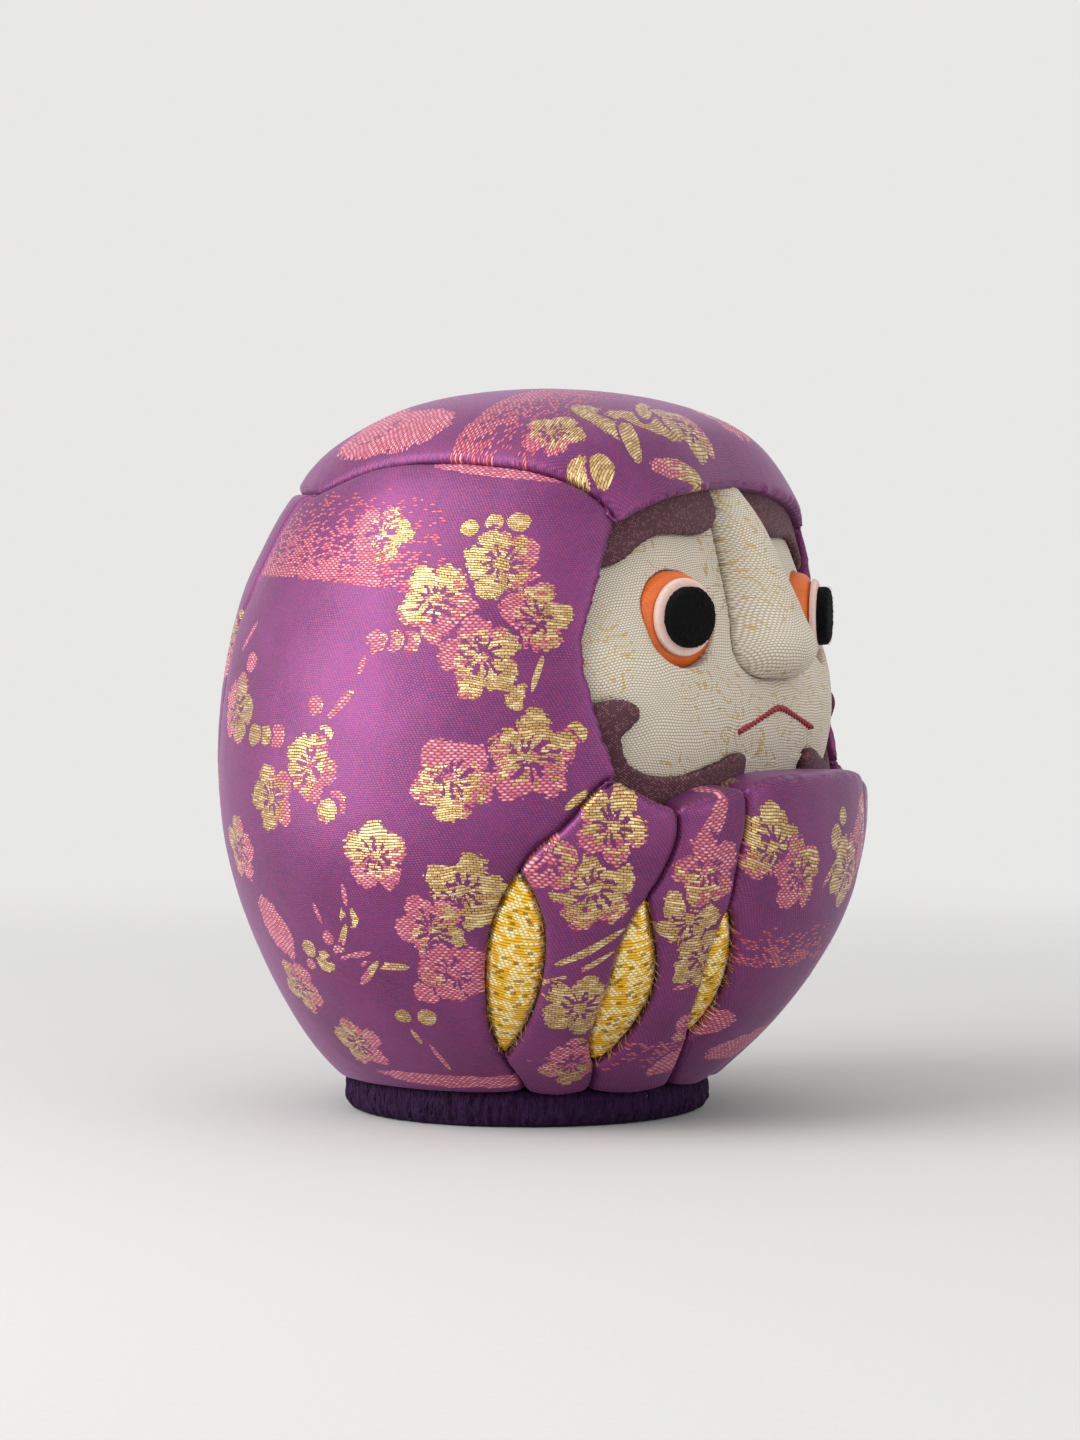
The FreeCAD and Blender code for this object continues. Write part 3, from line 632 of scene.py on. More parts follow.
    # Relief: figures stand above the ground, threads are round, and the satin has fine pits.
    figure_height = add(tree, "Math.MULTIPLY", add(tree, "Math.MAXIMUM", figure, mist_rose),
                        add(tree, "Math.MULTIPLY_ADD", thread, 0.7, 0.5))
    height = add(tree, "Math.ADD", figure_height,
                 add(tree, "Math.MULTIPLY", add(tree, "Math.ADD", pits, fine), 0.22))
    relief = add(tree, "Bump", 0.75, 0.11 * MM, None, height)
    rough = add(tree, "Math.SUBTRACT", add(tree, "Math.MULTIPLY_ADD", fine, 0.12, 0.35),
                add(tree, "Math.MULTIPLY", gold, 0.12))
    metal = add(tree, "Math.ADD",
                add(tree, "Math.MULTIPLY_ADD", add(tree, "Math.SUBTRACT", 1.0, figure), 0.38, 0.12),
                add(tree, "Math.MULTIPLY", gold, 0.62))
    wear(tree, shader, Base_Color=colour, Roughness=rough, Metallic=metal, Normal=relief,
         Sheen_Weight=0.18, Sheen_Roughness=0.4, Sheen_Tint="#E3A6EA")
    return material


SATIN_BLUE, SATIN_RED = "#5C2F70", "#94345E"
SATIN_SHADOW, SATIN_LIGHT = "#370F32", "#934483"
ROSE_SHADOW, ROSE_FLOSS, ROSE_LIGHT = "#7A2743", "#C15A70", "#F0B4B8"
GOLD_SHADOW, GOLD_FOIL, GOLD_LIGHT = "#4A2434", "#C39B5C", "#F3DDA6"
BROCADE = purple_brocade()
print("material:", BROCADE.name, len(BROCADE.node_tree.nodes), "nodes")

# %% [markdown]
# ** The bright gold inserts** under the folds are a different cloth, woven nearly all from gold foil weft
# with a small all-over pattern of broken checks. It is laid on the same stitch grid. The foil crinkles where
# it goes under the warp, so it sparkles, which is a rough relief on a smooth metal, and its threads and knots
# carry painted highlights, with painted shade in the gaps between them.

# %% Gold insert cloth
def gold_cloth():
    material, tree, shader = start_material("gold foil brocade")
    chance, other, thread, dash = stitch_grid(tree, 0.5, 0.8, 0.37)
    lay = add(tree, "UVMap", uv_map="weave")
    clusters = add(tree, "TexNoise", add(tree, "VectorMath.MULTIPLY", lay, (0.85, 1.3, 0)), 0.62, 0.0,
                   noise_dimensions="2D")
    pale_share = add(tree, "Math.GREATER_THAN", add(tree, "Math.MULTIPLY_ADD", chance, 0.1, clusters), 0.53)
    # Painted highlight and shade: knots and thread middles are lightened and the gaps between them darkened.
    knot = add(tree, "Math.MULTIPLY", thread, dash)
    pale = add(tree, "Mix", add(tree, "Math.MULTIPLY", knot, 1.5), "#DFA820", "#FFF8C2", data_type="RGBA")
    deep = add(tree, "Mix", thread, "#B07410", "#FFCB2E", data_type="RGBA")
    colour = add(tree, "Mix", pale_share, deep, pale, data_type="RGBA")
    colour = add(tree, "Mix", add(tree, "Math.MULTIPLY", add(tree, "Math.GREATER_THAN", other, 0.9), 0.7),
                 colour, "#6E4308", data_type="RGBA")
    height = add(tree, "Math.ADD", add(tree, "Math.MULTIPLY", thread, 0.6),
                 add(tree, "Math.MULTIPLY", chance, 0.7))
    relief = add(tree, "Bump", 0.9, 0.14 * MM, None, height)
    wear(tree, shader, Base_Color=colour, Roughness=0.34, Metallic=0.6, Normal=relief)
    return material


def foil_ends():
    """Cut ends of flat gold foil thread, bent this way and that, with their uneven glint painted into the
    colour.
    """
    material, tree, shader = start_material("gold foil thread ends")
    bent = add(tree, "TexNoise", add(tree, "TexCoord", out=3), 1500.0, 1.0)
    # Painted glint: the colour runs from dull to bright gold with the same noise that bends the relief.
    colour = add(tree, "Mix", bent, "#B37A18", "#FFE48A", data_type="RGBA")
    wear(tree, shader, Base_Color=colour, Roughness=0.3, Metallic=0.5,
         Normal=add(tree, "Bump", 0.3, 0.03 * MM, None, bent))
    return material


GOLD_CLOTH = gold_cloth()
GOLD_ENDS = foil_ends()
print("materials:", GOLD_CLOTH.name, "and", GOLD_ENDS.name)

# %% [markdown]
# **The face cloth** is a cream brocade with a plain weave that shows as rows of tiny pale stitches, and a
# faint cloud scroll in flat gold thread. Cream silk scatters light well, so it stays matt and soft.

# %% Cream face cloth
def face_brocade():
    material, tree, shader = start_material("cream figured silk")
    chance, _, thread, dash = stitch_grid(tree, 0.46, 0.62, 0.5)
    lay = add(tree, "UVMap", uv_map="weave")
    # Painted highlight and shade: stitch tops are lit cream and the gaps between them are dark.
    weave_light = add(tree, "Math.MULTIPLY", add(tree, "Math.POWER", thread, 0.7),
                      add(tree, "Math.POWER", dash, 0.5))
    cream = add(tree, "Mix", weave_light, "#857660", "#DDD4C4", data_type="RGBA")
    clouds = add(tree, "TexNoise", lay, 0.13, 1.5, 0.4, noise_dimensions="2D")
    ring = add(tree, "Math.PINGPONG", add(tree, "Math.MULTIPLY", clouds, 7.0), 0.5)
    line = add(tree, "Math.LESS_THAN", add(tree, "Math.MULTIPLY_ADD", chance, 0.22, ring), 0.17)
    where = add(tree, "TexNoise", add(tree, "VectorMath.ADD", lay, (40, 20, 0)), 0.075, 0.0,
                noise_dimensions="2D")
    line = add(tree, "Math.MULTIPLY", line, add(tree, "Math.GREATER_THAN", where, 0.42))
    # The scroll's flat gold thread is painted lit along its middle and shaded at its edges.
    scroll = add(tree, "Mix", thread, "#8A6A34", "#CBAA6A", data_type="RGBA")
    colour = add(tree, "Mix", add(tree, "Math.MULTIPLY", line, 0.85), cream, scroll, data_type="RGBA")
    relief = add(tree, "Bump", 0.8, 0.1 * MM, None, weave_light)
    rough = add(tree, "Math.SUBTRACT", 0.72, add(tree, "Math.MULTIPLY", line, 0.3))
    metal = add(tree, "Math.MULTIPLY", line, 0.5)
    wear(tree, shader, Base_Color=colour, Roughness=rough, Metallic=metal, Normal=relief, Sheen_Weight=0.2,
         Sheen_Roughness=0.5)
    return material


FACE_SILK = face_brocade()
print("material:", FACE_SILK.name)

# %% [markdown]
# ** Crepe** is woven from hard-twisted yarn, so it is dull and pebbly. On the brows and beard it is mauve,
# with painted highlight on the thread tops, brighter on some, and painted shade between threads, and on the
# round pad it is deep violet and gathered into fine upright crinkles, with painted shade in their hollows.
# Orange silk on the eyes is the opposite: smooth, tight and shiny.

# %% Crepes, silk, felt and cord
def mauve_crepe():
    material, tree, shader = start_material("mauve silk crepe")
    chance, _, thread, dash = stitch_grid(tree, 0.30, 0.42, 0.41)
    # Painted highlight and shade: thread tops are lit mauve and the gaps dark, and some threads get a
    # brighter painted highlight.
    light = add(tree, "Math.MULTIPLY", thread, dash)
    colour = add(tree, "Mix", light, "#25080F", "#66303E", data_type="RGBA")
    thread_highlights = add(tree, "Math.MULTIPLY", add(tree, "Math.GREATER_THAN", chance, 0.72), light)
    colour = add(tree, "Mix", thread_highlights, colour, "#8F5A64", data_type="RGBA")
    patches = add(tree, "TexNoise", add(tree, "UVMap", uv_map="weave"), 0.3, 2.0, noise_dimensions="2D")
    colour = add(tree, "Mix", add(tree, "Math.MULTIPLY", patches, 0.35), colour, "#4C2530", data_type="RGBA")
    relief = add(tree, "Bump", 0.9, 0.12 * MM, None,
                 add(tree, "Math.ADD", light, add(tree, "Math.MULTIPLY", chance, 0.5)))
    wear(tree, shader, Base_Color=colour, Roughness=0.7, Normal=relief, Sheen_Weight=0.04,
         Sheen_Roughness=0.45)
    return material


def pad_crepe():
    material, tree, shader = start_material("deep violet gathered crepe")
    spot = add(tree, "TexCoord", out=3)
    crinkle = add(tree, "TexNoise", add(tree, "VectorMath.MULTIPLY", spot, (1300, 1300, 330)), 1.0, 3.0, 0.55)
    grain = add(tree, "TexNoise", spot, 5200.0, 2.0)
    ridge = add(tree, "Math.PINGPONG", add(tree, "Math.MULTIPLY", crinkle, 3.0), 0.5)
    # Painted shade: the crinkles' hollows are darkened and their ridges lightened, following the relief.
    colour = add(tree, "Mix", add(tree, "Math.MULTIPLY", ridge, 2.0), "#0A000C", "#2A0735", data_type="RGBA")
    colour = add(tree, "Mix", add(tree, "Math.MULTIPLY", grain, 0.3), colour, "#3A0F4A", data_type="RGBA")
    height = add(tree, "Math.ADD", add(tree, "Math.MULTIPLY", ridge, 2.0),
                 add(tree, "Math.MULTIPLY", grain, 0.25))
    relief = add(tree, "Bump", 0.9, 0.5 * MM, None, height)
    wear(tree, shader, Base_Color=colour, Roughness=0.75, Specular_IOR_Level=0.2, Normal=relief,
         Sheen_Weight=0.03, Sheen_Roughness=0.4, Sheen_Tint="#6A3A90")
    return material


def orange_silk():
    material, tree, shader = start_material("orange habutai silk")
    spot = add(tree, "TexCoord", out=3)
    across = add(tree, "TexWave", spot, 1050.0, 0.6, 2.0, 2.0, wave_type="BANDS", bands_direction="Z")
    along = add(tree, "TexWave", spot, 1050.0, 0.6, 2.0, 2.0, wave_type="BANDS", bands_direction="X")
    slubs = add(tree, "TexNoise", add(tree, "VectorMath.MULTIPLY", spot, (260, 260, 1600)), 1.0, 3.0)
    weave = add(tree, "Math.MULTIPLY", across, along)
    sheen = add(tree, "Math.MULTIPLY_ADD", weave, 0.5, add(tree, "Math.MULTIPLY", slubs, 0.5))
    colour = add(tree, "Mix", sheen, "#BD4109", "#EA7E22", data_type="RGBA")
    relief = add(tree, "Bump", 0.5, 0.06 * MM, None, add(tree, "Math.ADD", weave, slubs))
    wear(tree, shader, Base_Color=colour, Roughness=0.46, Normal=relief, Sheen_Weight=0.2,
         Sheen_Roughness=0.35, Sheen_Tint="#FFC08A")
    return material


def pale_felt():
    material, tree, shader = start_material("pale pink glazed cotton")
    spot = add(tree, "TexCoord", out=3)
    weave = add(tree, "TexNoise", add(tree, "VectorMath.MULTIPLY", spot, (2600, 2600, 1500)), 1.0, 2.0)
    stain = add(tree, "TexNoise", spot, 300.0, 2.0)
    colour = add(tree, "Mix", weave, "#C9A79C", "#E9D0C6", data_type="RGBA")
    colour = add(tree, "Mix", add(tree, "Math.MULTIPLY", stain, 0.25), colour, "#C08E80", data_type="RGBA")
    relief = add(tree, "Bump", 0.5, 0.05 * MM, None, weave)
    wear(tree, shader, Base_Color=colour, Roughness=0.68, Normal=relief, Sheen_Weight=0.1)
    return material


def black_felt():
    material, tree, shader = start_material("black wool felt")
    spot = add(tree, "TexCoord", out=3)
    fibres = add(tree, "TexNoise", spot, 2400.0, 4.0, 0.7)
    tufts = add(tree, "TexVoronoi", spot, 2600.0, feature="F1")
    colour = add(tree, "Mix", fibres, "#010101", "#0F0F10", data_type="RGBA")
    relief = add(tree, "Bump", 0.8, 0.16 * MM, None, add(tree, "Math.ADD", fibres, tufts))
    wear(tree, shader, Base_Color=colour, Roughness=0.95, Normal=relief, Specular_IOR_Level=0.08,
         Sheen_Weight=0.02, Sheen_Roughness=0.6)
    return material


def red_cord():
    material, tree, shader = start_material("crimson twisted silk cord")
    spot = add(tree, "TexCoord", out=3)
    floss = add(tree, "TexNoise", spot, 3000.0, 2.0)
    colour = add(tree, "Mix", floss, "#62040F", "#A50E25", data_type="RGBA")
    relief = add(tree, "Bump", 0.5, 0.05 * MM, None, floss)
    wear(tree, shader, Base_Color=colour, Roughness=0.5, Normal=relief, Sheen_Weight=0.06)
    return material


MAUVE_CREPE, PAD_CREPE, ORANGE_SILK = mauve_crepe(), pad_crepe(), orange_silk()
PALE_COTTON, BLACK_FELT, RED_CORD = pale_felt(), black_felt(), red_cord()

# %% [markdown]
# **What is inside** is never seen in the finished doll, yet each inner part has its own finish too: a
# moulded paulownia-sawdust core, grey board in the pad, white cotton wadding and a sheet of handmade paper
# glued underneath.

# %% Inner parts
def inner_finish(name, dark, light, grain_mm, rough, relief_mm, stretch=(1, 1, 1)):
    """A matt finish with grain of a given size in millimetres."""
    material, tree, shader = start_material(name)
    spot = add(tree, "VectorMath.MULTIPLY", add(tree, "TexCoord", out=3), stretch)
    grain = add(tree, "TexNoise", spot, 1000.0 / grain_mm, 4.0, 0.65)
    flecks = add(tree, "TexVoronoi", spot, 600.0 / grain_mm, feature="F1")
    drift_and_painted_sheen = add(tree, "TexNoise", spot, 60.0, 2.0)
    mixed = add(tree, "Math.MULTIPLY_ADD", grain, 0.7, add(tree, "Math.MULTIPLY", flecks, 0.3))
    colour = add(tree, "Mix", mixed, dark, light, data_type="RGBA")
    colour = add(tree, "Mix", add(tree, "Math.MULTIPLY", drift_and_painted_sheen, 0.3), colour, dark, data_type="RGBA")
    wear(tree, shader, Base_Color=colour, Roughness=rough,
         Normal=add(tree, "Bump", 0.6, relief_mm * MM, None, mixed))
    return material


SAWDUST = inner_finish("moulded sawdust and paste", "#7A5B3A", "#C9A878", 0.8, 0.85, 0.15)
BOARD = inner_finish("grey millboard", "#6E6A63", "#A39D92", 0.5, 0.8, 0.05, (1, 1, 4))
WADDING = inner_finish("cotton wadding", "#CFCAC0", "#F4F1EA", 0.35, 0.95, 0.2)
PAPER = inner_finish("handmade mulberry paper", "#C9BFA8", "#EDE6D3", 0.6, 0.75, 0.04, (1, 3, 1))
INSIDE = {"core_front": SAWDUST, "core_back": SAWDUST, "base_board": BOARD, "base_padding": WADDING,
          "iris_pad_right": WADDING, "iris_pad_left": WADDING, "base_sheet": PAPER}
for name, finish in INSIDE.items():
    node = nodes[name]
    for slot in node.material_slots:
        slot.link = "OBJECT"
        slot.material = finish
print("inner finishes:", len(INSIDE))

# %% [markdown]
# **Hood and robe.** Nine brocade panels and six gold inserts are cut from one skin. Each panel was cut from
# a different part of the bolt, so its figures are the same repeat shifted and turned. The inserts lie deeper
# than the folds beside them, which then stand up like real padded folds.

# %% Hood and robe cloth
SQUARE = 0.5 * MM
SWELL = 0.14 * MM
CORES = ["core_front", "core_back"]
CROWN_MIST = [(-26, -6, -90, 17, -30, 30), (6, 24, 80, 12, -24, 24)]
SIDE_MIST = [(-15, 28, 82, 19, -42, 26)]
ROBE_MIST = [(-5, -9, 92, 8, -18, 15)]

# Piece: how its cloth lies (turn, tilt, skew), figures, mist, fullness in mm, how far it is sunk in mm.
PANELS = {
    "crown_panel": ((0, 90, 0), CROWN_SPRAYS, CROWN_MIST, 0.6, 0),
    "back_panel": ((180, 5, 0), moved(SIDE_SPRAYS, 6, 8, 14), [(0, -20, 60, 15, -30, 30)], 0.7, 0),
    "side_panel_right": ((-88, 0, 0), SIDE_SPRAYS, SIDE_MIST, 0.6, 0),
    "side_panel_left": ((88, 0, 0), moved(SIDE_SPRAYS, 7, -4, 168), [(4, 30, -70, 14, -30, 30)], 0.6, 0),
    "robe_outer_right": ((-52, -28, 0), OUTER_FOLD, [(4, -25, -80, 6, -12, 12)], 1.2, 0),
    "robe_outer_left": ((52, -28, 0), moved(OUTER_FOLD, 2, 6, 175), [(0, -25, -80, 6, -12, 12)], 1.2, 0),
    "robe_inner_right": ((-30, -28, 0), INNER_FOLD, [(0, -24, -85, 8, -12, 12)], 1.2, 0),
    "robe_inner_left": ((30, -28, 0), moved(INNER_FOLD, 1, -6, 170), [(0, -20, -80, 8, -12, 12)], 1.2, 0),
    "robe_centre": ((0, -28, 0), CENTRE_FOLD, ROBE_MIST, 1.2, 0),
}
GUSSETS = {f"gusset_{place}_{side}": ((turn * sign, -30, skew * sign), [], [], 1.0, 0.9)
           for side, sign in (("right", -1), ("left", 1))
           for place, turn, skew in (("outer", 60, 8), ("middle", 40, -12), ("inner", 20, -16))}


def build_cloth(pieces, skin, finishes, slots, width, depth, ripple, flange=FLANGE, holes=()):
    """Cuts the skin into its pieces, shapes each one and writes its cloth maps."""
    names = list(pieces)
    tree, owners = distance_tree(names)
    layer = skin.faces.layers.int.new("panel")
    for face in skin.faces:
        face[layer] = owners[tree.find_nearest(face.calc_center_median())[2]]
    made = {}
    for index, name in enumerate(names):
        lay, figures, bands, fullness, sunk = pieces[name]
        own_tree, _ = distance_tree([name])
        other_tree, _ = distance_tree([other for other in names if other != name])
        bm = cut_panel(skin, index, own_tree, other_tree)
        gaps = shape_panel(bm, other_tree, width, depth, fullness * MM, ripple, sunk * MM, flange, holes)
        weave = weave_coordinates(bm, lay_frame(*lay))
        piece = new_piece(name.replace("panel", "cloth") if "panel" in name else name + "_cloth", bm)
        mark_figures(piece.data, weave, figures, bands, gaps)
        fold_in = piece.modifiers.new("cloth thickness", "SOLIDIFY")
        fold_in.thickness = CLOTH_THICKNESS
        fold_in.offset = -1
        piece.data.materials.append(finishes(name))
        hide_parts(name)
        slots(name)
        made[name] = piece
        print(name, len(piece.data.polygons), "faces")
    return made


hood_names = {**PANELS, **GUSSETS}
core_tree, _ = distance_tree(CORES)
hood_skin = even_skin(list(hood_names), SQUARE, SWELL, 6)
face_tree, _ = distance_tree(["face_panel"])
at_face = distances(face_tree, hood_skin.verts, 4 * MM) < 3.5 * MM
smooth([vert for vert, near in zip(hood_skin.verts, at_face) if near], hood_skin, 22)
drop_inside(hood_skin, core_tree, 0.6 * MM)
hood = build_cloth(hood_names, hood_skin, lambda name: GOLD_CLOTH if "gusset" in name else BROCADE,
                   lambda name: "gold_brocade" if "gusset" in name else "brocade", TUCK_WIDTH, TUCK_DEPTH,
                   0.09 * MM)
hood_skin.free()

# %% [markdown]
# **The face** is the same craft at a smaller scale: cream silk over the carved face, with the nose, the
# brows and the beard as padded shapes of their own, each wrapped in cloth and pushed into a groove round
# its edge. They use a finer mesh and a tighter roll. The eyes are included while the skin is made, so
# that the face cloth ends where an eye begins, and are then thrown away and made separately.

# %% Where the eyes are
def eye_axes(side):
    """Across, up and out directions of an eye."""
    turn = math.radians(20 if side == "left" else -20)
    out = Vector((math.sin(turn), -math.cos(turn), 0))
    return Vector((0, 0, 1)).cross(out), Vector((0, 0, 1)), out


def reach_of(name, axes):
    """Lowest and highest place of a node along each axis."""
    points = [vertex.co for vertex in nodes[name].data.vertices]
    return [(min(point.dot(axis) for point in points),
             max(point.dot(axis) for point in points)) for axis in axes]


def eye_holes():
    """Each eye's middle, the way it looks, and the radius its socket is lined to."""
    found = []
    for side in ("right", "left"):
        axes = eye_axes(side)
        (left, right), (bottom, top), _ = reach_of(f"iris_{side}", axes)
        middle = axes[0] * (left + right) / 2 + axes[1] * (bottom + top) / 2
        found.append((middle, axes[2], (top - bottom) / 2 - 0.1 * MM))
    return found


# %% Face cloth
FACE_LAY = (0, 5, 0)
FACE = {"face_panel": (FACE_LAY, [], [], 0.35, 0), "nose_panel": (FACE_LAY, [], [], 0.55, 0)}
for side, sign in (("right", -1), ("left", 1)):
    FACE[f"brow_{side}"] = ((24 * sign, 20, 16 * sign), [], [], 1.1, 0)
    FACE[f"beard_{side}"] = ((40 * sign, -20, -24 * sign), [], [], 0.9, 0)
EYE_NODES = ["iris_right", "iris_left"]
face_skin = even_skin(list(FACE) + EYE_NODES, 0.42 * MM, 0.12 * MM, 4)
drop_inside(face_skin, core_tree, 0.45 * MM)
eye_tree, _ = distance_tree(EYE_NODES)
cloth_tree, _ = distance_tree(list(FACE))
eye_faces = []
for face in face_skin.faces:
    middle = face.calc_center_median()
    if eye_tree.find_nearest(middle)[3] < cloth_tree.find_nearest(middle)[3]:
        eye_faces.append(face)
bmesh.ops.delete(face_skin, geom=eye_faces, context="FACES")
face_skin.normal_update()


def face_finish(name):
    return MAUVE_CREPE if name.startswith(("brow", "beard")) else FACE_SILK


face = build_cloth(FACE, face_skin, face_finish,
                   lambda name: "mauve_crepe" if name.startswith(("brow", "beard")) else "face_brocade",
                   1.1 * MM, 0.8 * MM, 0.04 * MM, 4 * MM, eye_holes())
face_skin.free()

# %% [markdown]
# **The eyes** are three layers: a padded dome of orange silk that sits tight in its socket, a pale disc set
# off towards the nose, and a thick round of black felt glued on it. Each is a turned shape, so each is a
# profile spun about the eye's own axis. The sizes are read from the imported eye, and the profiles only say
# how round the edges are.

# %% Turned pieces
def turned(profile, axes, middle, steps):
    """A profile of (radius, height) points, spun about the out axis through the middle."""
    bm = bmesh.new()
    across, _, out = axes
    line = [bm.verts.new(middle + across * radius + out * height) for radius, height in profile]
    edges = [bm.edges.new(pair) for pair in zip(line, line[1:])]
    bmesh.ops.spin(bm, geom=line + edges, cent=middle, axis=out, angle=2 * math.pi, steps=steps,
                   use_merge=True)
    bmesh.ops.remove_doubles(bm, verts=bm.verts, dist=0.002 * MM)
    bmesh.ops.recalc_face_normals(bm, faces=bm.faces)
    return bm


def rounded_profile(radius, low, high, squareness, points=26):
    """From the middle of the top, over a rounded edge, to the middle of the bottom."""
    outline = []
    for step in range(points):
        angle = math.pi / 2 * step / (points - 1)
        outline.append((radius * math.sin(angle) ** (2 / squareness),
                        low + (high - low) * max(math.cos(angle), 0) ** (2 / squareness)))
    return outline + [(radius, low - 0.1 * MM), (0, low - 0.1 * MM)]


def rough_up(bm, size, amount):
    """Moves each vertex a little by a smooth random field."""
    bm.normal_update()
    for vert in bm.verts:
        vert.co += vert.normal * amount * noise.noise(vert.co * (1 / size))


# %% Eyes
EYE_LAYERS = {"iris": (ORANGE_SILK, "orange_silk", 4.0), "eye_white": (PALE_COTTON, "pale_disc", 5.0),
              "pupil": (BLACK_FELT, "black_felt", 6.0)}
eye_pieces = {}
for side in ("right", "left"):
    axes = eye_axes(side)
    for part, (finish, slot, squareness) in EYE_LAYERS.items():
        name = f"{part}_{side}"
        (left, right), (bottom, top), (back, front) = reach_of(name, axes)
        centre = axes[0] * (left + right) / 2 + axes[1] * (bottom + top) / 2
        radius = (top - bottom) / 2 + (0.2 * MM if part == "iris" else 0)
        bm = turned(rounded_profile(radius, back, front, squareness), axes, centre, 96)
        if part == "pupil":
            rough_up(bm, 0.5 * MM, 0.16 * MM)
        piece = new_piece({"iris": "eye_dome", "eye_white": "eye_disc",
                           "pupil": "eye_felt"}[part] + "_" + side, bm)
        piece.data.materials.append(finish)
        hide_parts(name)
        eye_pieces[name] = (piece, centre, radius, back, front)
        print(piece.name, "radius", round(radius / MM, 2), "mm")

# %% [markdown]
# **Loose fibres.** Felt is never clean at its rim, and cut brocade sheds foil ends where it is tucked in.
# Both are a few hundred tiny spikes, each a three-sided cone, set out along a rim with a seeded random
# generator so that every run gives the same ones.

# %% Fibres
def fibre_piece(name, roots, width, finish):
    """Thin spikes. Each root is its place, its direction and its length."""
    bm = bmesh.new()
    for place, way, length in roots:
        turn = way.to_track_quat("Z", "Y").to_matrix().to_4x4()
        bmesh.ops.create_cone(bm, cap_ends=True, segments=3, radius1=width, radius2=width * 0.3, depth=length,
                              matrix=Matrix.Translation(place + way * length * 0.4) @ turn)
    piece = new_piece(name, bm)
    piece.data.materials.append(finish)
    return piece


dice = random.Random(7)
for side in ("right", "left"):
    _, centre, radius, back, front = eye_pieces[f"pupil_{side}"]
    across, up, out = eye_axes(side)
    fuzz = []
    for _ in range(900):
        angle = dice.uniform(0, 2 * math.pi)
        level = dice.choice([dice.uniform(0.1, 0.95), 0.93])
        rim = across * math.cos(angle) + up * math.sin(angle)
        inward = 1 if level < 0.93 else math.sqrt(dice.random()) * 0.97
        place = centre + rim * radius * 0.97 * inward + out * (back + (front - back) * level)
        lean = Vector([dice.uniform(-1, 1) for _ in range(3)])
        outward, forward = (1.2, 0.1) if level < 0.93 else (0.2, 0.6)
        way = (rim * outward + out * forward + lean).normalized()
        fuzz.append((place, way, dice.uniform(0.15, 0.5) * MM))
    fibre_piece(f"felt_fibres_{side}", fuzz, 0.014 * MM, BLACK_FELT)

frays = []
for name in GUSSETS:
    mesh = hood[name].data
    gaps = np.zeros(len(mesh.loops) * 2)
    mesh.uv_layers["mist"].data.foreach_get("uv", gaps)
    near = sorted({mesh.loops[corner].vertex_index for corner in range(len(mesh.loops))
                   if 0.1 < gaps[2 * corner + 1] < 0.9})
    for vertex in dice.sample(near, min(110, len(near))):
        lean = Vector([dice.uniform(-1, 1) for _ in range(3)])
        way = ((mesh.vertices[vertex].co - MIDDLE).normalized() + lean * 0.6).normalized()
        frays.append((mesh.vertices[vertex].co.copy(), way, dice.uniform(1.2, 2.4) * MM))
fibre_piece("gold_frays", frays, 0.065 * MM, GOLD_ENDS)
print("gold fibres:", len(frays))

# %% [markdown]
# **The mouth** is one short length of two-ply silk cord, glued along the face in a shallow arch and cut
# where the mouth ends. Two strands that wind round each other catch the light as the real cord does. The
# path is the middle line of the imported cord, and the strands are curves with a round section, made mesh.

# %% Mouth cord
def middle_line(name, steps):
    """Middle of a node's cross-sections, at even places from its right end to its left end."""
    whole = merged_copy([name])
    reach = [vert.co.x for vert in whole.verts]
    low, high = min(reach), max(reach)
    line = []
    for step in range(steps):
        x = low + (high - low) * (0.02 + 0.96 * step / (steps - 1))
        sliced = whole.copy()
        cut = bmesh.ops.bisect_plane(sliced, geom=sliced.verts[:] + sliced.edges[:] + sliced.faces[:],
                                     plane_co=(x, 0, 0), plane_no=(1, 0, 0))["geom_cut"]
        rim = [vert.co for vert in cut if isinstance(vert, bmesh.types.BMVert)]
        line.append(Vector((x, (min(p.y for p in rim) + max(p.y for p in rim)) / 2,
                            (min(p.z for p in rim) + max(p.z for p in rim)) / 2)))
        sliced.free()
    whole.free()
    return line


TWIST = 2.2 * MM                   # length of one full turn of the two strands
STRAND = 0.33 * MM
spine = middle_line("mouth_cord", 15)
reaches = [0.0]
for here, there in zip(spine, spine[1:]):
    reaches.append(reaches[-1] + (there - here).length)
cord = bpy.data.curves.new("cord_path", "CURVE")
cord.dimensions = "3D"
cord.bevel_depth = STRAND
cord.bevel_resolution = 3
cord.use_fill_caps = True
SAMPLES = 150
for ply in (0, 1):
    strand = cord.splines.new("POLY")
    strand.points.add(SAMPLES - 1)
    for sample in range(SAMPLES):
        along = reaches[-1] * sample / (SAMPLES - 1)
        step = max(place for place in range(len(spine) - 1) if reaches[place] <= along or place == 0)
        share = (along - reaches[step]) / (reaches[step + 1] - reaches[step])
        middle = spine[step].lerp(spine[step + 1], share)
        heading = (spine[min(step + 2, len(spine) - 1)] - spine[max(step - 1, 0)]).normalized()
        up = heading.cross(Vector((0, -1, 0))).normalized()
        turn = 2 * math.pi * along / TWIST + math.pi * ply
        offset = (up * math.cos(turn) + heading.cross(up) * math.sin(turn)) * STRAND * 0.75
        proud = Vector((0, -0.45, 0)) * MM
        strand.points[sample].co = (*(middle + offset + proud), 1)
rope = bpy.data.objects.new("rope", cord)
bpy.context.scene.collection.objects.link(rope)
bpy.context.view_layer.update()
rope_mesh = bpy.data.meshes.new_from_object(rope.evaluated_get(bpy.context.evaluated_depsgraph_get()))
bpy.data.objects.remove(rope)
bm = bmesh.new()
bm.from_mesh(rope_mesh)
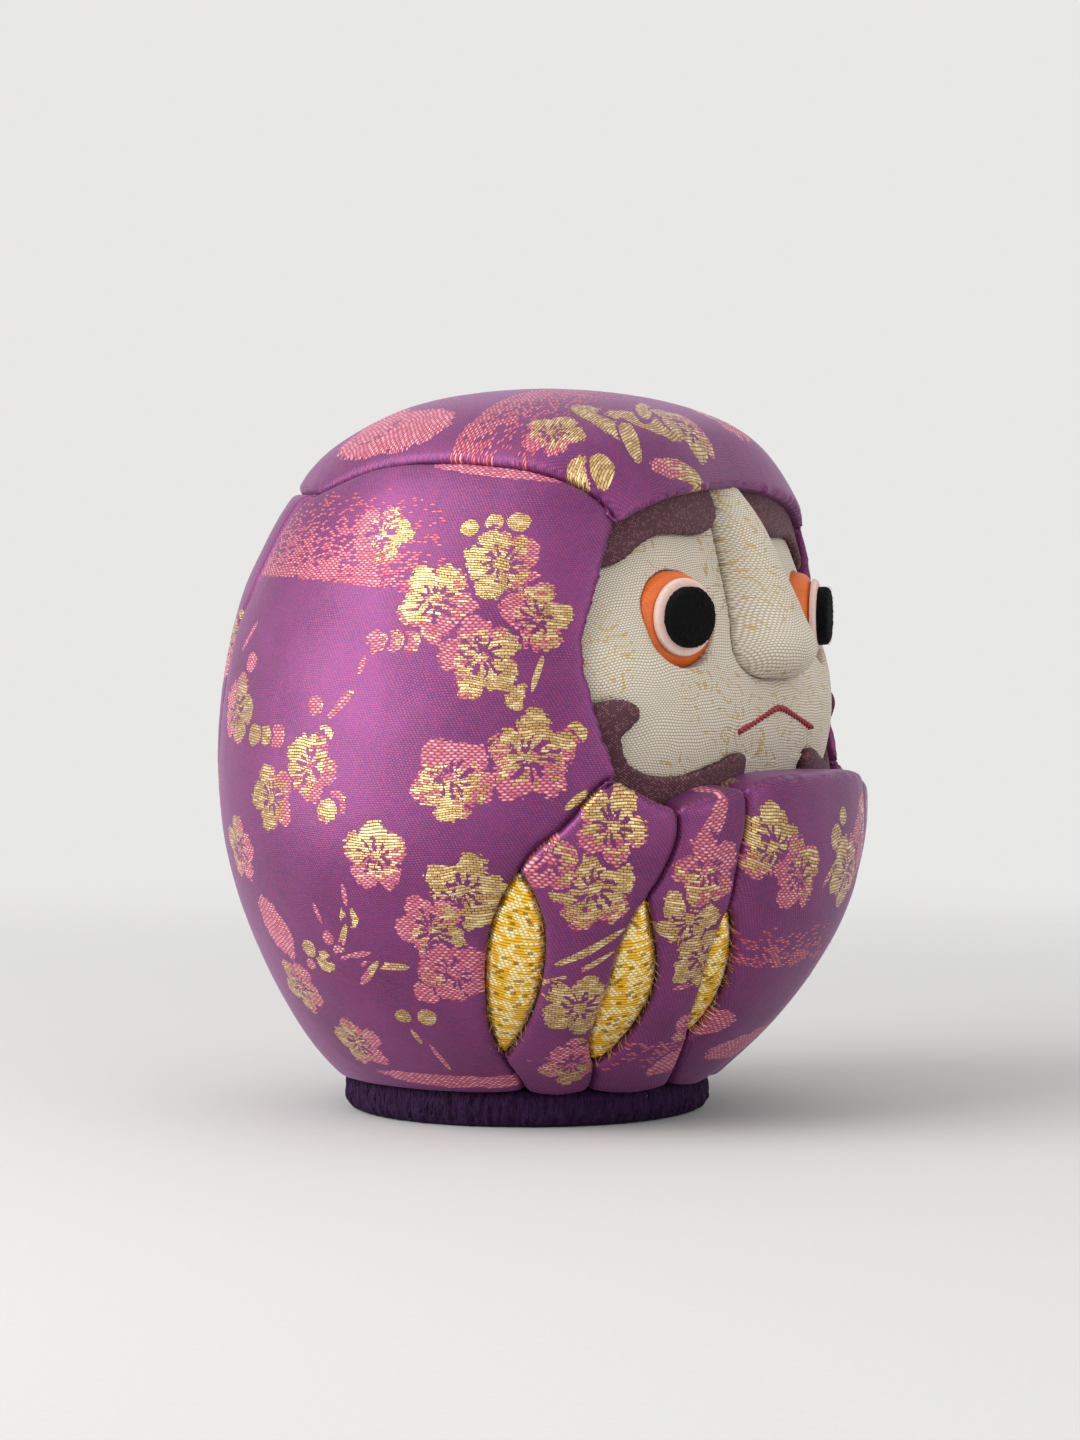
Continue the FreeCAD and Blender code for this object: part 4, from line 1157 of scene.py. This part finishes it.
mouth = new_piece("mouth_trim", bm)
mouth.data.materials.append(RED_CORD)
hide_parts("mouth_cord")
print("mouth cord:", round(reaches[-1] / MM, 1), "mm long")

# %% [markdown]
# **The pad** that the doll stands on is a disc of board in wadding and crepe. The crepe is gathered round
# the rim, so its surface is a mass of fine upright crinkles that are deeper halfway up and pressed flat
# where the pad meets the table. The profile is spun finely enough to hold the crinkles as real shape.

# %% Gathered pad
upright_axes = (Vector((1, 0, 0)), Vector((0, 0, 1)), Vector((0, -1, 0)))
(pad_left, pad_right), (pad_low, pad_high), _ = reach_of("base_cover", upright_axes)
pad_radius = (pad_right - pad_left) / 2
pad_height = pad_high - pad_low
ROUND = 2.4 * MM
profile = [(pad_radius - 6 * MM, 0.25 * MM), (pad_radius - 4 * MM, 0.08 * MM)]
for centre_height, start in ((ROUND, -90), (pad_height - ROUND, 0)):
    for step in range(9):
        angle = math.radians(start + 90 * step / 8)
        profile.append((pad_radius - ROUND + ROUND * math.cos(angle),
                        centre_height + ROUND * math.sin(angle)))
    if start < 0:
        profile += [(pad_radius, ROUND + (pad_height - 2 * ROUND) * share) for share in (0.25, 0.5, 0.75)]
profile += [(pad_radius - 4.5 * MM, pad_height - 0.05 * MM), (pad_radius - 9 * MM, pad_height - 0.1 * MM)]
bm = turned(profile, (Vector((1, 0, 0)), Vector((0, 1, 0)), Vector((0, 0, 1))), Vector((0, 0, 0)), 720)
bm.normal_update()
for vert in bm.verts:
    rim = math.hypot(vert.co.x, vert.co.y)
    if rim > pad_radius - 5 * MM:
        around = math.atan2(vert.co.y, vert.co.x) * pad_radius / MM
        spot = Vector((math.cos(around / pad_radius * MM) * 30, math.sin(around / pad_radius * MM) * 30, 0))
        crinkle = noise.noise(Vector((spot.x * 1.1, spot.y * 1.1, vert.co.z / MM * 0.28)))
        crinkle += 0.6 * noise.noise(Vector((spot.x * 2.3, spot.y * 2.3, vert.co.z / MM * 0.5)))
        free = min(1.0, vert.co.z / (0.8 * MM)) * min(1.0, (rim - pad_radius + 5 * MM) / (3 * MM))
        vert.co += vert.normal * (0.55 * MM * crinkle - 0.15 * MM) * free
pad = new_piece("pad_cover", bm)
cover = pad.modifiers.new("cloth thickness", "SOLIDIFY")
cover.thickness = 0.5 * MM
cover.offset = -1
pad.data.materials.append(PAD_CREPE)
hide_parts("base_cover")
print("pad:", round(pad_radius / MM, 1), "mm radius")

# %% Padded pieces
print("padded pieces, shaped above: brows, beards, eye domes and pad")

# %% [markdown]
# **Light and floor.** Soft daylight from a large window at the doll's back left of the view, with a low
# bounce under it, a wide light above and a weaker fill. The pale floor fades into a pale room. The satin
# needs a wide light to show its broad glow, and the foil needs a smaller one to glint.

# %% Studio
def area_light(name, place, target, size, power, colour=(1, 1, 1)):
    light = bpy.data.objects.new(name, bpy.data.lights.new(name, "AREA"))
    light.data.shape = "RECTANGLE"
    light.data.size, light.data.size_y = size
    light.data.energy = power
    light.data.color = colour
    light.location = place
    light.rotation_euler = (Vector(target) - Vector(place)).to_track_quat("-Z", "Y").to_euler()
    bpy.context.scene.collection.objects.link(light)
    print("light:", name)


area_light("window", (-0.58, 0.36, 0.56), (0, 0, 0.05), (0.7, 0.7), 7.2, (1.0, 0.985, 0.96))
area_light("low bounce", (-0.5, 0.45, 0.1), (0, 0, 0.03), (0.6, 0.24), 2.2)
area_light("overhead", (-0.1, 0.1, 1.3), (0, 0, 0.0), (1.4, 1.4), 2.8)
area_light("soft fill", (-0.3, -1.0, 0.4), (0, 0, 0.06), (1.0, 0.8), 3.2)
bm = bmesh.new()
bmesh.ops.create_circle(bm, cap_ends=True, radius=3, segments=64)
floor = new_piece("floor", bm, body=None)
material, tree, shader = start_material("matt paper sweep")
spot = add(tree, "TexCoord", out=3)
tooth = add(tree, "TexNoise", spot, 900.0, 2.0)
wear(tree, shader, Base_Color=add(tree, "Mix", tooth, "#B7B7B7", "#BDBDBC", data_type="RGBA"), Roughness=0.9,
     Normal=add(tree, "Bump", 0.1, 0.1 * MM, None, tooth))
far = add(tree, "MapRange", add(tree, "VectorMath.LENGTH", spot), 0.14, 0.55, interpolation_type="SMOOTHSTEP")
clear = add(tree, "BsdfTransparent")
blend = add(tree, "MixShader", far, shader.outputs[0], clear)
tree.links.new(blend, next(node for node in tree.nodes if node.type == "OUTPUT_MATERIAL").inputs["Surface"])
floor.data.materials.append(material)
world = bpy.data.worlds.new("studio")
bpy.context.scene.world = world
world.use_nodes = True
world.node_tree.nodes["Background"].inputs["Color"].default_value = (0.93, 0.925, 0.915, 1)
world.node_tree.nodes["Background"].inputs["Strength"].default_value = 0.87
